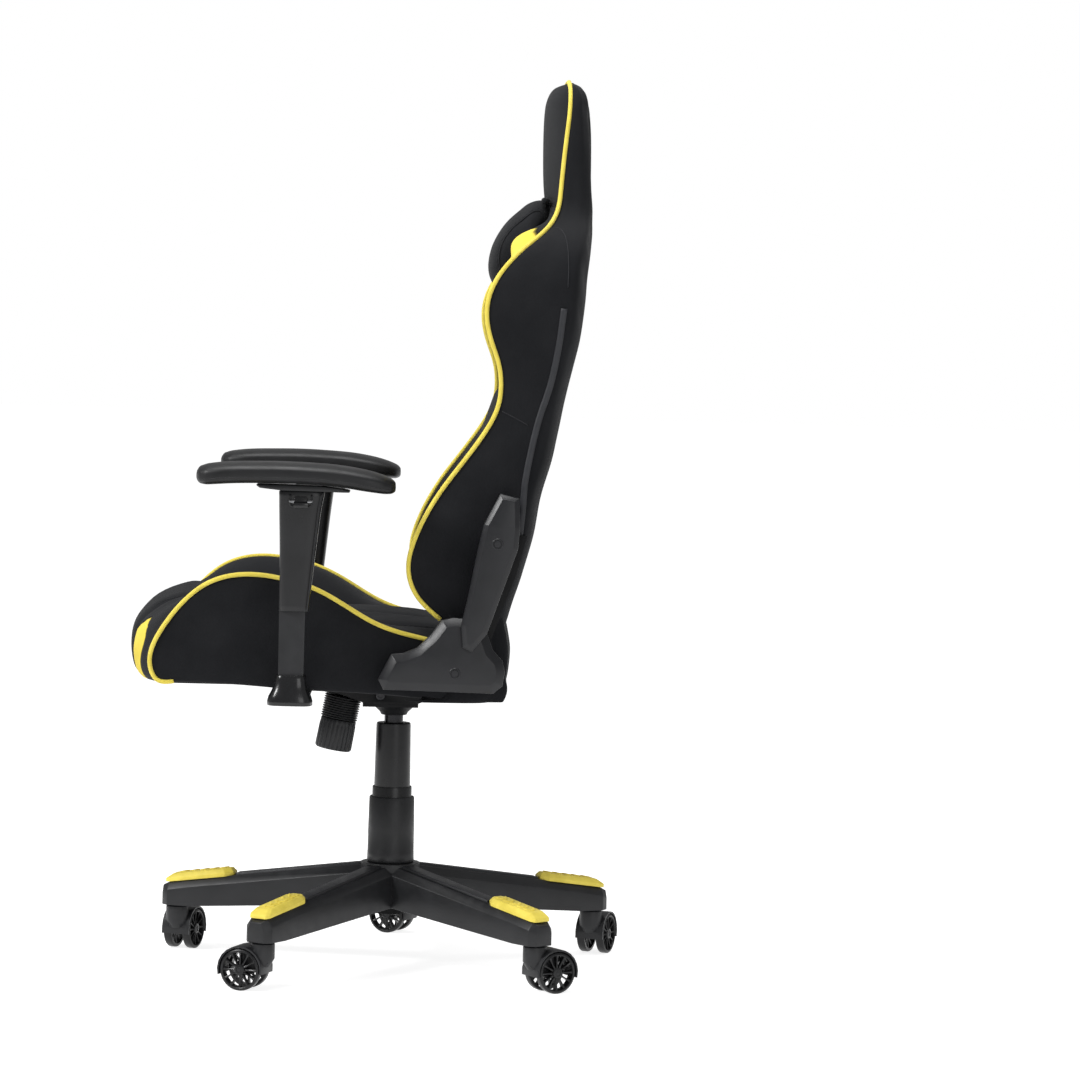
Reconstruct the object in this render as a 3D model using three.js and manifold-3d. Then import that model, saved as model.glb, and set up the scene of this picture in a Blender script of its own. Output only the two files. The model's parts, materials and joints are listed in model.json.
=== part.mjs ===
// A racing-style gaming chair: bucket seat and winged backrest on a tilt mechanism, a gas column and a
// five-star base with twin-wheel casters. Millimetres, +Z up, front of the chair towards -Y and the
// sitter's left towards +X. Everything inside the column group is laid out from the column's axis; the
// group is moved along Y so that the part's origin is the middle of its footprint on the floor.
import * as THREE from "three";
import { mergeVertices } from "three/addons/utils/BufferGeometryUtils.js";
import Module from "manifold-3d";

const wasm = await Module();
wasm.setup();

// ---- Driving dimensions ----
const COLUMN_Y = 19.443; // the column's axis, behind the middle of the footprint
const GAP = 0.4; // clearance between pieces that touch on the real chair

const WHEEL_R = 30;
const WHEEL_W = 13.5;
const WHEEL_SIDES = 24;
const WHEEL_SPOKES = 12;
const CASTER_TRAIL = 27; // from the swivel axis back to the axle
const CASTER_WEB = 8; // half thickness of the web between the twin wheels
const HOOD_INNER_R = 31.5;
const HOOD_OUTER_R = 34;
const NECK_R = 17;
const STEM_R = 5.5;
const STEM_TOP = 98;

const STEM_CIRCLE_R = 330;
const ARM_TIP_R = 350;
const ARM_TURNS = [22, 94, 166, 238, 310]; // degrees from +Y, turning towards -X
const CASTER_TURNS = [68, -27, 70, 160, 31]; // which way each caster trails
const ARM_UNDER_TIP = 70;
const ARM_UNDER_HUB = 89;
const ARM_TOP_TIP = 104;
const ARM_TOP_HUB = 150;
const HUB_R = 44;

const TUBE_R = 24; // pressure tube of the gas spring
const TUBE_TOP = 280;
const CYLINDER_R = 14;
const CYLINDER_BOTTOM = 178;
const CYLINDER_TOP = 394;

const TILT_AXIS = { y: -20, z: 404 };
const KNOB_TILT = THREE.MathUtils.degToRad(10);
const KNOB_FOOT = { y: -89, z: 322 };
const KNOB_LENGTH = 42;
const BELLOWS_LENGTH = 34;

const HINGE = { y: 117, z: 501 }; // recliner axis
const WING_ROOT_X = 151; // where wings and bolsters meet the centre panels
const SEAT_TOP = 520;
const ARM_X = 310;
const ARM_Y = -143;

// ---- Materials ----
const plain = (color, roughness, metalness = 0) =>
  new THREE.MeshStandardMaterial({ color, roughness, metalness });
const material = {
  nylon: plain(0x2b2b2e, 0.55),
  gloss: plain(0x141416, 0.3),
  steel: plain(0x1c1c1e, 0.45, 0.8),
  bright: plain(0xa8abb0, 0.25, 1),
  fabric: plain(0x101114, 0.95),
  padSkin: plain(0x1a1a1b, 0.5),
  yellow: plain(0xe6cf2e, 0.6),
};

// ---- Groups and helpers ----
const chair = new THREE.Group();
const column = new THREE.Group();
column.position.y = COLUMN_Y;
chair.add(column);

function place(name, geometry, look, parent = column) {
  const mesh = new THREE.Mesh(geometry, look);
  mesh.name = name;
  parent.add(mesh);
  return mesh;
}

// One mesh for each side of the chair; the right one is the left one mirrored.
function placePair(name, geometry, look) {
  place(`${name}_left`, geometry, look);
  place(`${name}_right`, geometry, look).scale.x = -1;
}

function solid(geometry) {
  const bare = (geometry.index ? geometry.toNonIndexed() : geometry.clone());
  bare.deleteAttribute("normal");
  bare.deleteAttribute("uv");
  const merged = mergeVertices(bare, 1e-3);
  const triVerts = new Uint32Array(merged.index.array);
  const mesh = new wasm.Mesh({ numProp: 3, vertProperties: merged.attributes.position.array, triVerts });
  return new wasm.Manifold(mesh);
}

function fromSolid(made) {
  const mesh = made.getMesh();
  const position = new Float32Array(mesh.numVert * 3);
  for (let i = 0; i < mesh.numVert; i++)
    position.set(mesh.vertProperties.subarray(i * mesh.numProp, i * mesh.numProp + 3), i * 3);
  return new THREE.BufferGeometry()
    .setAttribute("position", new THREE.BufferAttribute(position, 3))
    .setIndex(new THREE.BufferAttribute(new Uint32Array(mesh.triVerts), 1));
}

const join = (...parts) => fromSolid(parts.map(solid).reduce((a, b) => a.add(b)));
const cut = (body, ...tools) =>
  fromSolid(tools.map(solid).reduce((a, b) => a.subtract(b), solid(body)));

const vectors = (points) => points.map(([x, y]) => new THREE.Vector2(x, y));
const outline = (points) => new THREE.Shape(vectors(points));

// A block between two opposite corners.
function block([x0, y0, z0], [x1, y1, z1]) {
  return new THREE.BoxGeometry(x1 - x0, y1 - y0, z1 - z0).translate(
    (x0 + x1) / 2, (y0 + y1) / 2, (z0 + z1) / 2);
}

// A turned part standing on z: the profile is [radius, z] pairs, closed on itself or on the axis.
function turned(profile, sides = 24) {
  return new THREE.LatheGeometry(vectors(profile), sides).rotateX(Math.PI / 2);
}

// A tube with a bore, standing upright: outer radius may taper from bottom to top.
function sleeve(outerBottom, outerTop, innerR, z0, z1, sides = 24) {
  const profile = [[innerR, z0], [outerBottom, z0], [outerTop, z1], [innerR, z1], [innerR, z0]];
  return turned(profile, sides);
}

function rodZ(radius, z0, z1, sides = 16) {
  return turned([[0, z0], [radius, z0], [radius, z1], [0, z1]], sides);
}

function rodX(radius, x0, x1, y, z, sides = 16) {
  return new THREE.CylinderGeometry(radius, radius, x1 - x0, sides)
    .rotateZ(Math.PI / 2)
    .translate((x0 + x1) / 2, y, z);
}

// Turns a shape drawn in (y, z) and extruded along +Z so that it is extruded along +X from x0.
const sideways = new THREE.Matrix4().makeBasis(
  new THREE.Vector3(0, 1, 0), new THREE.Vector3(0, 0, 1), new THREE.Vector3(1, 0, 0));

function sidePlate(shape, x0, x1) {
  const plate = new THREE.ExtrudeGeometry(shape, { depth: x1 - x0, bevelEnabled: false });
  return plate.applyMatrix4(sideways).translate(x0, 0, 0);
}

// A side plate whose outer face, at x1, has its edges sloped off.
function bevelledPlate(shape, x0, x1, bevel) {
  const plate = new THREE.ExtrudeGeometry(shape, {
    depth: x1 - x0, bevelEnabled: true, bevelThickness: bevel, bevelSize: bevel, bevelOffset: -bevel,
    bevelSegments: 1,
  }).applyMatrix4(sideways).translate(x0 - bevel, 0, 0);
  return cut(plate, block([x0 - 3 * bevel, -500, 0], [x0, 500, 1500]));
}

// The same outline, drawn smaller by a wall all round.
function hollowOf(shape, x0, x1, wall) {
  return new THREE.ExtrudeGeometry(shape, {
    depth: x1 - x0, bevelEnabled: true, bevelThickness: 1, bevelSize: 0, bevelOffset: -wall,
    bevelSegments: 1,
  }).applyMatrix4(sideways).translate(x0, 0, 0);
}

// A closed skin through rings of [x, y, z] points, each ring with the same number of points.
function loft(rings) {
  const count = rings[0].length;
  const position = rings.flat(2);
  const index = [];
  for (let r = 0; r < rings.length - 1; r++)
    for (let i = 0; i < count; i++) {
      const a = r * count + i;
      const b = r * count + ((i + 1) % count);
      index.push(a, b, a + count, b, b + count, a + count);
    }
  for (const [ring, turn] of [[0, 1], [rings.length - 1, 0]]) {
    const middle = position.length / 3;
    const sum = rings[ring].reduce((s, p) => s.map((v, k) => v + p[k]), [0, 0, 0]);
    position.push(...sum.map((v) => v / count));
    for (let i = 0; i < count; i++) {
      const a = ring * count + i;
      const b = ring * count + ((i + 1) % count);
      index.push(middle, ...(turn ? [b, a] : [a, b]));
    }
  }
  const skin = new THREE.BufferGeometry();
  skin.setAttribute("position", new THREE.Float32BufferAttribute(position, 3));
  skin.setIndex(index);
  return facingOut(skin);
}

function facingOut(skin) {
  const p = skin.attributes.position;
  const at = (i) => new THREE.Vector3().fromBufferAttribute(p, skin.index.getX(i));
  let volume = 0;
  for (let i = 0; i < skin.index.count; i += 3)
    volume += at(i).dot(at(i + 1).cross(at(i + 2)));
  if (volume < 0)
    for (let i = 0; i < skin.index.count; i += 3) {
      const first = skin.index.getX(i);
      skin.index.setX(i, skin.index.getX(i + 1));
      skin.index.setX(i + 1, first);
    }
  return skin;
}

// Straight-line reading of a table of [key, value, value...] rows.
function reading(table, key) {
  const row = Math.max(1, table.findIndex((r) => r[0] >= key));
  const [low, high] = [table[row - 1], table[row]];
  const share = (key - low[0]) / (high[0] - low[0]);
  return low.map((v, k) => v + share * (high[k] - v));
}

// A tube of round section along a smooth path.
function pipe(points, radius, steps, sides = 10) {
  const path = new THREE.CatmullRomCurve3(points.map((p) => new THREE.Vector3(...p)));
  const section = new THREE.Shape().absarc(0, 0, radius, 0, 2 * Math.PI);
  return new THREE.ExtrudeGeometry(section, { steps, curveSegments: sides, extrudePath: path });
}

// ---- Five-star base ----
function baseArm() {
  const wide = { hub: 28, tip: 23 };
  const crown = { hub: 17, tip: 14 };
  const corner = 11; // height of the sloped shoulder
  const ring = (y, under, top, half, topHalf) => [
    [-half, y, under], [half, y, under], [half, y, top - corner],
    [topHalf, y, top], [-topHalf, y, top], [-half, y, top - corner],
  ];
  const end = STEM_CIRCLE_R + 10;
  return loft([
    ring(20, ARM_UNDER_HUB, ARM_TOP_HUB, wide.hub, crown.hub),
    ring(STEM_CIRCLE_R - 24, ARM_UNDER_TIP, ARM_TOP_TIP + 6, wide.tip, crown.tip),
    ring(end, ARM_UNDER_TIP, ARM_TOP_TIP, wide.tip - 1, crown.tip),
    ring(ARM_TIP_R, ARM_UNDER_TIP, ARM_TOP_TIP - 5, wide.tip - 9, crown.tip - 5),
  ]);
}

function starBase() {
  const hub = rodZ(HUB_R, ARM_UNDER_HUB - 1, ARM_TOP_HUB + 2, 25);
  const arms = ARM_TURNS.map((turn) => baseArm().rotateZ(THREE.MathUtils.degToRad(turn)));
  const sockets = ARM_TURNS.map((turn) =>
    rodZ(STEM_R + 2 * GAP, ARM_UNDER_TIP - 1, STEM_TOP + 2, 8)
      .translate(0, STEM_CIRCLE_R, 0).rotateZ(THREE.MathUtils.degToRad(turn)));
  const bore = rodZ(TUBE_R + GAP, ARM_UNDER_HUB - 5, ARM_TOP_HUB + 5, 24);
  place("star_base", cut(join(hub, ...arms), bore, ...sockets), material.nylon);
}

// Grip pad on top of an arm, with rows of low studs.
function footPads() {
  const slope = Math.atan2(ARM_TOP_HUB - ARM_TOP_TIP - 6, STEM_CIRCLE_R - 44);
  const [inner, outer] = [222, 338];
  const top = outline([[-9, inner], [9, inner], [16, inner + 18], [15.5, outer - 8],
    [10, outer], [-10, outer], [-15.5, outer - 8], [-16, inner + 18]]);
  const slab = new THREE.ExtrudeGeometry(top, {
    depth: 6, bevelEnabled: true, bevelThickness: 3, bevelSize: 3, bevelOffset: -3, bevelSegments: 1,
  }).translate(0, -280, 3);
  ARM_TURNS.forEach((turn, i) => {
    const carrier = new THREE.Group();
    carrier.rotation.z = THREE.MathUtils.degToRad(turn);
    column.add(carrier);
    const pad = place(`foot_pad_${i + 1}`, slab, material.yellow, carrier);
    pad.position.set(0, 280, 114);
    pad.rotation.x = -slope;
  });
}

// ---- Casters: drawn with the swivel axis on the origin and the axle behind it, towards +Y ----
function casterWheel() {
  const flatR = WHEEL_R / Math.cos(Math.PI / WHEEL_SIDES); // so that a flat meets the floor
  const rim = outline(ringPoints(flatR, WHEEL_SIDES, Math.PI / WHEEL_SIDES));
  const [hubR, rimInnerR, halfSpoke] = [7.5, 24.5, 1.1];
  for (let i = 0; i < WHEEL_SPOKES; i++) {
    const turn = (2 * Math.PI * i) / WHEEL_SPOKES;
    const half = Math.PI / WHEEL_SPOKES;
    const at = (r, side) => {
      const a = turn + side * (half - halfSpoke / r);
      return new THREE.Vector2(r * Math.cos(a), r * Math.sin(a));
    };
    rim.holes.push(new THREE.Path([at(hubR, -1), at(rimInnerR, -1), at(rimInnerR, 1), at(hubR, 1)]));
  }
  rim.holes.push(new THREE.Path(vectors(ringPoints(3.4, 8, 0))));
  return sidePlate(rim, 0, WHEEL_W);
}

function ringPoints(radius, sides, start) {
  return Array.from({ length: sides }, (_, i) => {
    const a = start - Math.PI / 2 + (2 * Math.PI * i) / sides;
    return [radius * Math.cos(a), radius * Math.sin(a)];
  });
}

function casterFork() {
  const wheelEnd = CASTER_WEB + GAP + WHEEL_W;
  const neck = turned([[0, 34], [10, 34], [NECK_R, 46], [NECK_R, 67], [14, 69.5], [0, 69.5]], 16);
  const stem = rodZ(STEM_R, 69, STEM_TOP, 8);
  const hood = new THREE.Shape();
  hood.absarc(CASTER_TRAIL, WHEEL_R, HOOD_OUTER_R, Math.PI * 1.05, -Math.PI * 0.08, true);
  hood.absarc(CASTER_TRAIL, WHEEL_R, HOOD_INNER_R - 1, -Math.PI * 0.08, Math.PI * 1.05, false);
  const cover = new THREE.ExtrudeGeometry(hood, { depth: 2 * wheelEnd, bevelEnabled: false, curveSegments: 6 })
    .applyMatrix4(sideways).translate(-wheelEnd, 0, 0);
  const web = sidePlate(
    outline([[-12, 40], [-6, 34], [18, 21], [30, 20], [37, 27], [36, 36], [28, 60], [0, 66], [-12, 60]]),
    -CASTER_WEB, CASTER_WEB);
  const axle = rodX(3, -wheelEnd + 1, wheelEnd - 1, CASTER_TRAIL, WHEEL_R, 8);
  const well = (x0) => rodX(HOOD_INNER_R, x0, x0 + WHEEL_W + GAP + 8, CASTER_TRAIL, WHEEL_R, 24);
  const shell = cut(join(neck, cover, web), well(CASTER_WEB), well(-CASTER_WEB - WHEEL_W - GAP - 8));
  return join(shell, stem, axle);
}

function casters() {
  const fork = casterFork();
  const wheel = casterWheel();
  ARM_TURNS.forEach((turn, i) => {
    const arm = new THREE.Group();
    arm.rotation.z = THREE.MathUtils.degToRad(turn);
    column.add(arm);
    const swivel = new THREE.Group();
    swivel.position.y = STEM_CIRCLE_R;
    swivel.rotation.z = THREE.MathUtils.degToRad(CASTER_TURNS[i] - turn);
    arm.add(swivel);
    place(`caster_fork_${i + 1}`, fork, material.nylon, swivel);
    for (const [side, x] of [["a", CASTER_WEB + GAP], ["b", -CASTER_WEB - GAP - WHEEL_W]])
      place(`caster_wheel_${i + 1}${side}`, wheel, material.gloss, swivel)
        .position.set(x, CASTER_TRAIL, WHEEL_R);
  });
}

// ---- Gas column ----
function gasColumn() {
  const tubeWall = 2.5;
  const foot = 76;
  place("gas_outer_tube", turned([
    [7, foot], [TUBE_R, foot], [TUBE_R, TUBE_TOP], [CYLINDER_R + GAP, TUBE_TOP],
    [CYLINDER_R + GAP, TUBE_TOP - 45], [TUBE_R - tubeWall, TUBE_TOP - 50],
    [TUBE_R - tubeWall, foot + 4], [7, foot + 4], [7, foot],
  ]), material.steel);
  place("thrust_bearing", sleeve(14, 14, 6, foot + 4.4, foot + 11, 16), material.bright);
  place("piston_rod", turned([[0, foot - 2], [5, foot - 2], [5, foot + 11.4], [8, foot + 11.4],
    [8, foot + 14], [5, foot + 14], [5, CYLINDER_BOTTOM + 70], [0, CYLINDER_BOTTOM + 70]], 16),
  material.bright);
  place("gas_cylinder", turned([
    [5.4, CYLINDER_BOTTOM], [CYLINDER_R, CYLINDER_BOTTOM], [CYLINDER_R, 374], [CYLINDER_R - 1.5, CYLINDER_TOP],
    [4.4, CYLINDER_TOP], [4.4, CYLINDER_TOP - 10], [0, CYLINDER_TOP - 10], [0, CYLINDER_TOP - 14],
    [11, CYLINDER_TOP - 14], [11, CYLINDER_BOTTOM + 8], [5.4, CYLINDER_BOTTOM + 8], [5.4, CYLINDER_BOTTOM],
  ]), material.bright);
  place("valve_pin", rodZ(4, CYLINDER_TOP - 4, CYLINDER_TOP + 3, 12), material.bright);

  const hubTop = ARM_TOP_HUB + 2 + GAP;
  place("cover_lower", sleeve(35, 33.3, 31, hubTop, 250), material.nylon);
  place("cover_middle", sleeve(29.5, 29, 28, 200, 265), material.nylon);
  const neck = CYLINDER_R + GAP;
  place("cover_upper", turned([
    [25.8, 230], [27.4, 230], [25.6, 360], [neck, 360], [neck, 357], [24.6, 357], [24.6, 285], [25.8, 230],
  ]), material.nylon);
}

// ---- Tilt mechanism ----
function tiltMechanism() {
  const cup = turned([[0, 372], [19, 372], [21, 376], [34, 388], [34, 397], [0, 397]]);
  const tray = block([-42, -46, 386], [42, 36, 397]);
  const trunnion = rodX(7, -52, 52, TILT_AXIS.y, TILT_AXIS.z, 16);
  const ears = [-44, 40].map((x) => block([x, -30, 390], [x + 4, -10, 410]));
  const seatOfPin = rodZ(CYLINDER_R + GAP, 370, CYLINDER_TOP + GAP, 24);
  const nose = block([-16, -94, 401.5], [16, -36, 406.5]);
  const nosePost = block([-16, -46, 390], [16, -36, 406.5]);
  const eye = block([-6, -83, 400], [6, -68, 408]);
  const opening = block([-8, -9, 391], [9, 26, 398]);
  const slot = block([-46, 12, 391], [8, 26, 398]);
  const body = join(cup, tray, trunnion, nose, nosePost, ...ears);
  place("tilt_bracket", cut(body, seatOfPin, opening, eye, slot), material.steel);

  const flange = outline([[-120, 418], [-60, 398], [-44, 392], [34, 392], [60, 402], [112, 418], [112, 421],
    [-120, 421]]);
  const notched = cut(sidePlate(flange, 48, 50.5), rodX(7 + GAP, 46, 54, TILT_AXIS.y, TILT_AXIS.z, 16));
  const left = notched;
  const leverNotch = block([46, 6, 380], [54, 34, 417]);
  const right = facingOut(cut(notched, leverNotch).scale(-1, 1, 1));
  const topPlate = cut(block([-105, -124, 420], [105, 116, 424]), rodZ(7, 415, 430, 16).translate(0, -71, 0));
  place("seat_plate", join(topPlate, left, right), material.steel);
}

// The tension knob hangs below the plate's front edge on a leaning axis.
function tensionKnob() {
  const lean = new THREE.Group();
  lean.position.set(0, KNOB_FOOT.y, KNOB_FOOT.z);
  lean.rotation.x = -KNOB_TILT;
  column.add(lean);
  const ribs = 12;
  const grip = new THREE.Shape(Array.from({ length: ribs * 4 }, (_, i) => {
    const a = (2 * Math.PI * i) / (ribs * 4);
    const r = i % 4 < 2 ? 26 : 24.6;
    return new THREE.Vector2(r * Math.cos(a), r * Math.sin(a));
  }));
  const body = new THREE.ExtrudeGeometry(grip, { depth: KNOB_LENGTH, bevelEnabled: false });
  const pocket = rodZ(20, 14, KNOB_LENGTH + 1, 20);
  const bolt = rodZ(4, 10, 101, 12);
  place("tension_knob", join(cut(body, pocket), bolt), material.nylon, lean);

  const folds = 5;
  const start = KNOB_LENGTH + GAP;
  const pitch = (BELLOWS_LENGTH - 2) / folds;
  const skin = [];
  for (let i = 0; i < folds; i++)
    skin.push([24.5, start + i * pitch], [27, start + (i + 0.5) * pitch]);
  skin.push([24.5, start + folds * pitch]);
  const inside = [[22, start + folds * pitch], [22, start], [24.5, start]];
  place("knob_bellows", turned([...skin, ...inside], 18), material.nylon, lean);

  const turns = 5;
  const [springR, wire] = [13, 1.8];
  const [low, high] = [17, 62];
  const coil = Array.from({ length: turns * 8 + 1 }, (_, i) => {
    const a = (2 * Math.PI * i) / 8;
    return [springR * Math.cos(a), springR * Math.sin(a), low + ((high - low) * i) / (turns * 8)];
  });
  place("tension_spring", pipe(coil, wire, turns * 9, 3), material.bright, lean);
}

function liftLever() {
  const tongue = block([-34, 14.5, 397.8], [5, 23.5, 402]);
  const finger = block([-5, -6, 397.8], [5, 23.5, 402]);
  const rod = pipe([[-30, 19, 400], [-70, 19, 397], [-150, 19, 386], [-228, 19, 375]], 4, 9, 4);
  const paddle = loft([-222, -240, -270, -292].map((x, i) => {
    const half = [7, 11, 14, 9][i];
    const z = [375.5, 373, 369, 366][i];
    return [[x, 19 - half, z - 4], [x, 19 + half, z - 4], [x, 19 + half, z + 2], [x, 19, z + 5],
      [x, 19 - half, z + 2]];
  }));
  place("lift_lever", join(tongue, finger, rod, paddle), material.nylon);
}

// ---- Seat ----
const SEAT_SIDE = [
  // y, underside, piping height, height at the centre panel, outer x
  [-366, 447, 474, 530, 200],
  [-354, 434, 480, 544, 224],
  [-340, 432, 490, 548, 248],
  [-326, 431, 516, 550, 250],
  [-305, 431, 545, 551, 250],
  [-280, 431, 567, 548, 250],
  [-250, 431, 583, 542, 250],
  [-200, 431, 589, 530, 250],
  [-150, 431, 582, SEAT_TOP, 250],
  [-100, 431, 565, SEAT_TOP, 250],
  [-50, 429, 535, SEAT_TOP, 250],
  [0, 428, 513, 505, 250],
  [58, 428, 500, 492, 250],
];

function seatFrame() {
  const [half, tube] = [225, 13];
  const ring = cut(block([-half, -332, 430.5], [half, 148, 450]),
    block([-half + tube, -332 + tube, 425], [half - tube, 148 - tube, 455]));
  const crossBars = [[-105, -65], [60, 100]].map(([y0, y1]) =>
    block([-half, y0, 424.5], [half, y1, 431]));
  const sideArms = [-1, 1].map((side) => block(side < 0 ? [-261, 120, 431] : [half - 5, 120, 431],
    side < 0 ? [-half + 5, 146, 449] : [261, 146, 449]));
  const cheek = outline([[64, 431], [146, 431], [148, 470], [136, 515], [117, 524], [98, 515], [72, 470]]);
  const cheeks = [257, -261].map((x) =>
    cut(sidePlate(cheek, x, x + 4), rodX(8.8, x - 2, x + 6, HINGE.y, HINGE.z, 20)));
  place("seat_frame", join(ring, ...crossBars, ...sideArms, ...cheeks), material.steel);
}

function seatCushions() {
  const profile = outline([
    [-334, 431], [-362, 434], [-381, 452], [-388, 478], [-384, 508], [-366, 540], [-336, 557],
    [-304, 560], [-262, 548], [-205, 530], [-150, SEAT_TOP], [56, SEAT_TOP], [76, 511], [76, 457],
    [158, 456.5], [165, 440], [160, 420], [150, 419], [150, 451], [-334, 451],
  ]);
  const half = WING_ROOT_X - 1;
  const fill = block([-half, -311, 432], [half, 127, 452]);
  place("seat_cushion", join(sidePlate(profile, -half, half), fill), material.fabric);

  const rings = SEAT_SIDE.map(([y, under, piping, centre, outer]) => {
    const body = Math.min(piping, Math.max(under, 451.5));
    const middle = (under + piping) / 2;
    return [
      [outer - 22, y, under], [outer, y, under], [outer + 6, y, middle], [outer, y, piping - 12],
      [outer - 14, y, piping], [outer - 36, y, Math.max(piping - 2, centre - 12)],
      [WING_ROOT_X, y, Math.max(body, centre)], [WING_ROOT_X, y, body], [outer - 22, y, body],
    ];
  });
  const sideFill = block([WING_ROOT_X, -311, 432], [204, 58, 452]);
  placePair("seat_bolster", join(loft(rings), sideFill), material.fabric);
}

// ---- Backrest ----
const BACK_SIDE = [
  // height, wing's outer x, piping y, centre panel's front y, rear y
  [512, 236, 84, 84, 158],
  [531, 238, 66, 88, 161],
  [556, 244, 37, 93, 167],
  [583, 248, 22, 99, 176],
  [605, 250, 18, 104, 182],
  [651, 250, 29, 115, 194],
  [708, 249, 58, 132, 203],
  [766, 246, 100, 146, 219],
  [814, 244, 131, 156, 228],
  [855, 243, 145, 165, 236],
  [896, 246, 142, 172, 245],
  [936, 250, 127, 179, 254],
  [976, 252, 120, 186, 259],
  [1022, 250, 136, 193, 262],
  [1061, 236, 169, 198, 266],
  [1089, 205, 203, 202, 268],
  [1106, 172, 216, 204, 268],
  [1190, 150, 228, 205, 267],
  [1250, 148, 233, 205, 264],
  [1290, 138, 233, 208, 257],
  [1308, 110, 232, 220, 247],
];
const FRAME_DEPTH = 24; // from the back's rear face to twice the depth of the frame's middle
const POST_X = 128;
const POST_R = 8.5;
const POST_HEIGHTS = [525, 600, 680, 760, 840, 920, 1000, 1080, 1160, 1235];
const RUNG_HEIGHTS = [1000, 1225];

function backCushions() {
  const rings = BACK_SIDE.map(([z, , , front, rear]) => {
    const narrowing = z > 1260 ? { 1290: 10, 1308: 38 }[z] : 0;
    const half = WING_ROOT_X - 1 - narrowing;
    return [[-half, rear, z], [-half, front + 10, z], [-half + 10, front, z], [half - 10, front, z],
      [half, front + 10, z], [half, rear, z]];
  });
  place("back_panel", cut(loft(rings), ...frameChannels()), material.fabric);

  const wing = BACK_SIDE.filter(([z]) => z > 520 && z < 1107).map(([z, outer, piping, front, rear]) => {
    const edge = Math.min(piping, rear - 34);
    const crest = Math.max(WING_ROOT_X + 6, outer - 44);
    return [[WING_ROOT_X, rear, z], [WING_ROOT_X, front + 2, z], [crest, edge + 5, z],
      [outer - 6, edge, z], [outer, edge + 8, z], [outer, rear - 14, z], [outer - 12, rear - 2, z]];
  });
  placePair("back_wing", cut(loft(wing), crossBar(2)), material.fabric);
}

const spine = (z) => reading(BACK_SIDE, z)[4] - FRAME_DEPTH / 2;

// The flat bar that carries the backrest, grown all round by a clearance.
function crossBar(room) {
  const [z0, z1] = [600 - room, 655 + room];
  const side = outline([[spine(600) - 6 - room, z0], [spine(600) + 1 + room, z0],
    [spine(655) + 1 + room, z1], [spine(655) - 6 - room, z1]]);
  return sidePlate(side, -256, 256);
}

// Channels in the foam, open to the rear, that take the frame's posts, rungs and bar.
function frameChannels() {
  const wide = POST_R + 1.5;
  const posts = [-1, 1].map((side) => loft([500, ...POST_HEIGHTS.slice(0, -1), 1245].map((z) => {
    const middle = spine(Math.max(z, 512));
    const [front, rear] = [middle - wide - 3, middle + 25];
    return [[-wide, front], [wide, front], [wide, rear], [-wide, rear]].map(([dx, y]) =>
      [side * POST_X + dx, y, z]);
  })));
  const rungs = RUNG_HEIGHTS.map((z) =>
    block([-POST_X, spine(z) - POST_R, z - POST_R], [POST_X, spine(z) + 25, z + POST_R]));
  return [...posts, ...rungs, crossBar(2)];
}

function backFrame() {
  const path = (x) => POST_HEIGHTS.map((z) => [x, spine(z), z]);
  const posts = [-POST_X, POST_X].map((x) => pipe(path(x), POST_R, 14, 4));
  const rungs = RUNG_HEIGHTS.map((z) => rodX(POST_R - 2, -POST_X, POST_X, spine(z), z, 12));
  const cheek = outline([[99, 494], [117, 482], [135, 494], [150, 540], [172, 600], [186, 655],
    [172, 656], [140, 600], [112, 540]]);
  const cheeks = [252, -256].map((x) => sidePlate(cheek, x, x + 4));
  const pins = [rodX(8, 250, 261.5, HINGE.y, HINGE.z), rodX(8, -261.5, -250, HINGE.y, HINGE.z)];
  const shaft = rodX(6, -252, 252, HINGE.y, HINGE.z, 12);
  place("back_frame", join(...posts, ...rungs, crossBar(0), ...cheeks, ...pins, shaft), material.steel);
}

// ---- Pillows ----
function pillow(halfWidth, section, ends) {
  return loft(ends.map(([share, squeeze]) =>
    section.map(([y, z, midY, midZ]) =>
      [share * halfWidth, midY + (y - midY) * squeeze, midZ + (z - midZ) * squeeze])));
}

function pillows() {
  const puff = [[-1, 0.55], [-0.93, 0.8], [-0.7, 1], [0.7, 1], [0.93, 0.8], [1, 0.55]];
  const neck = [[196, 1136], [182, 1134], [152, 1108], [130, 1075], [124, 1045], [131, 1016], [152, 1004],
    [180, 1010], [192, 1030], [196, 1080]].map((p) => [...p, 168, 1070]);
  place("neck_pillow", pillow(135, neck, puff), material.fabric);
  const lumbar = [[160, 868], [146, 872], [134, 835], [120, 795], [98, 745], [86, 700], [84, 668],
    [98, 655], [112, 662], [124, 694], [140, 762], [153, 820]].map((p) => [...p, 130, 765]);
  place("lumbar_pillow", pillow(142, lumbar, puff), material.fabric);
}

// ---- Recliner covers ----
function screwBoss(y, z, x) {
  return rodX(7.5, x - 2, x + 1.5, y, z, 12);
}

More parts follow.
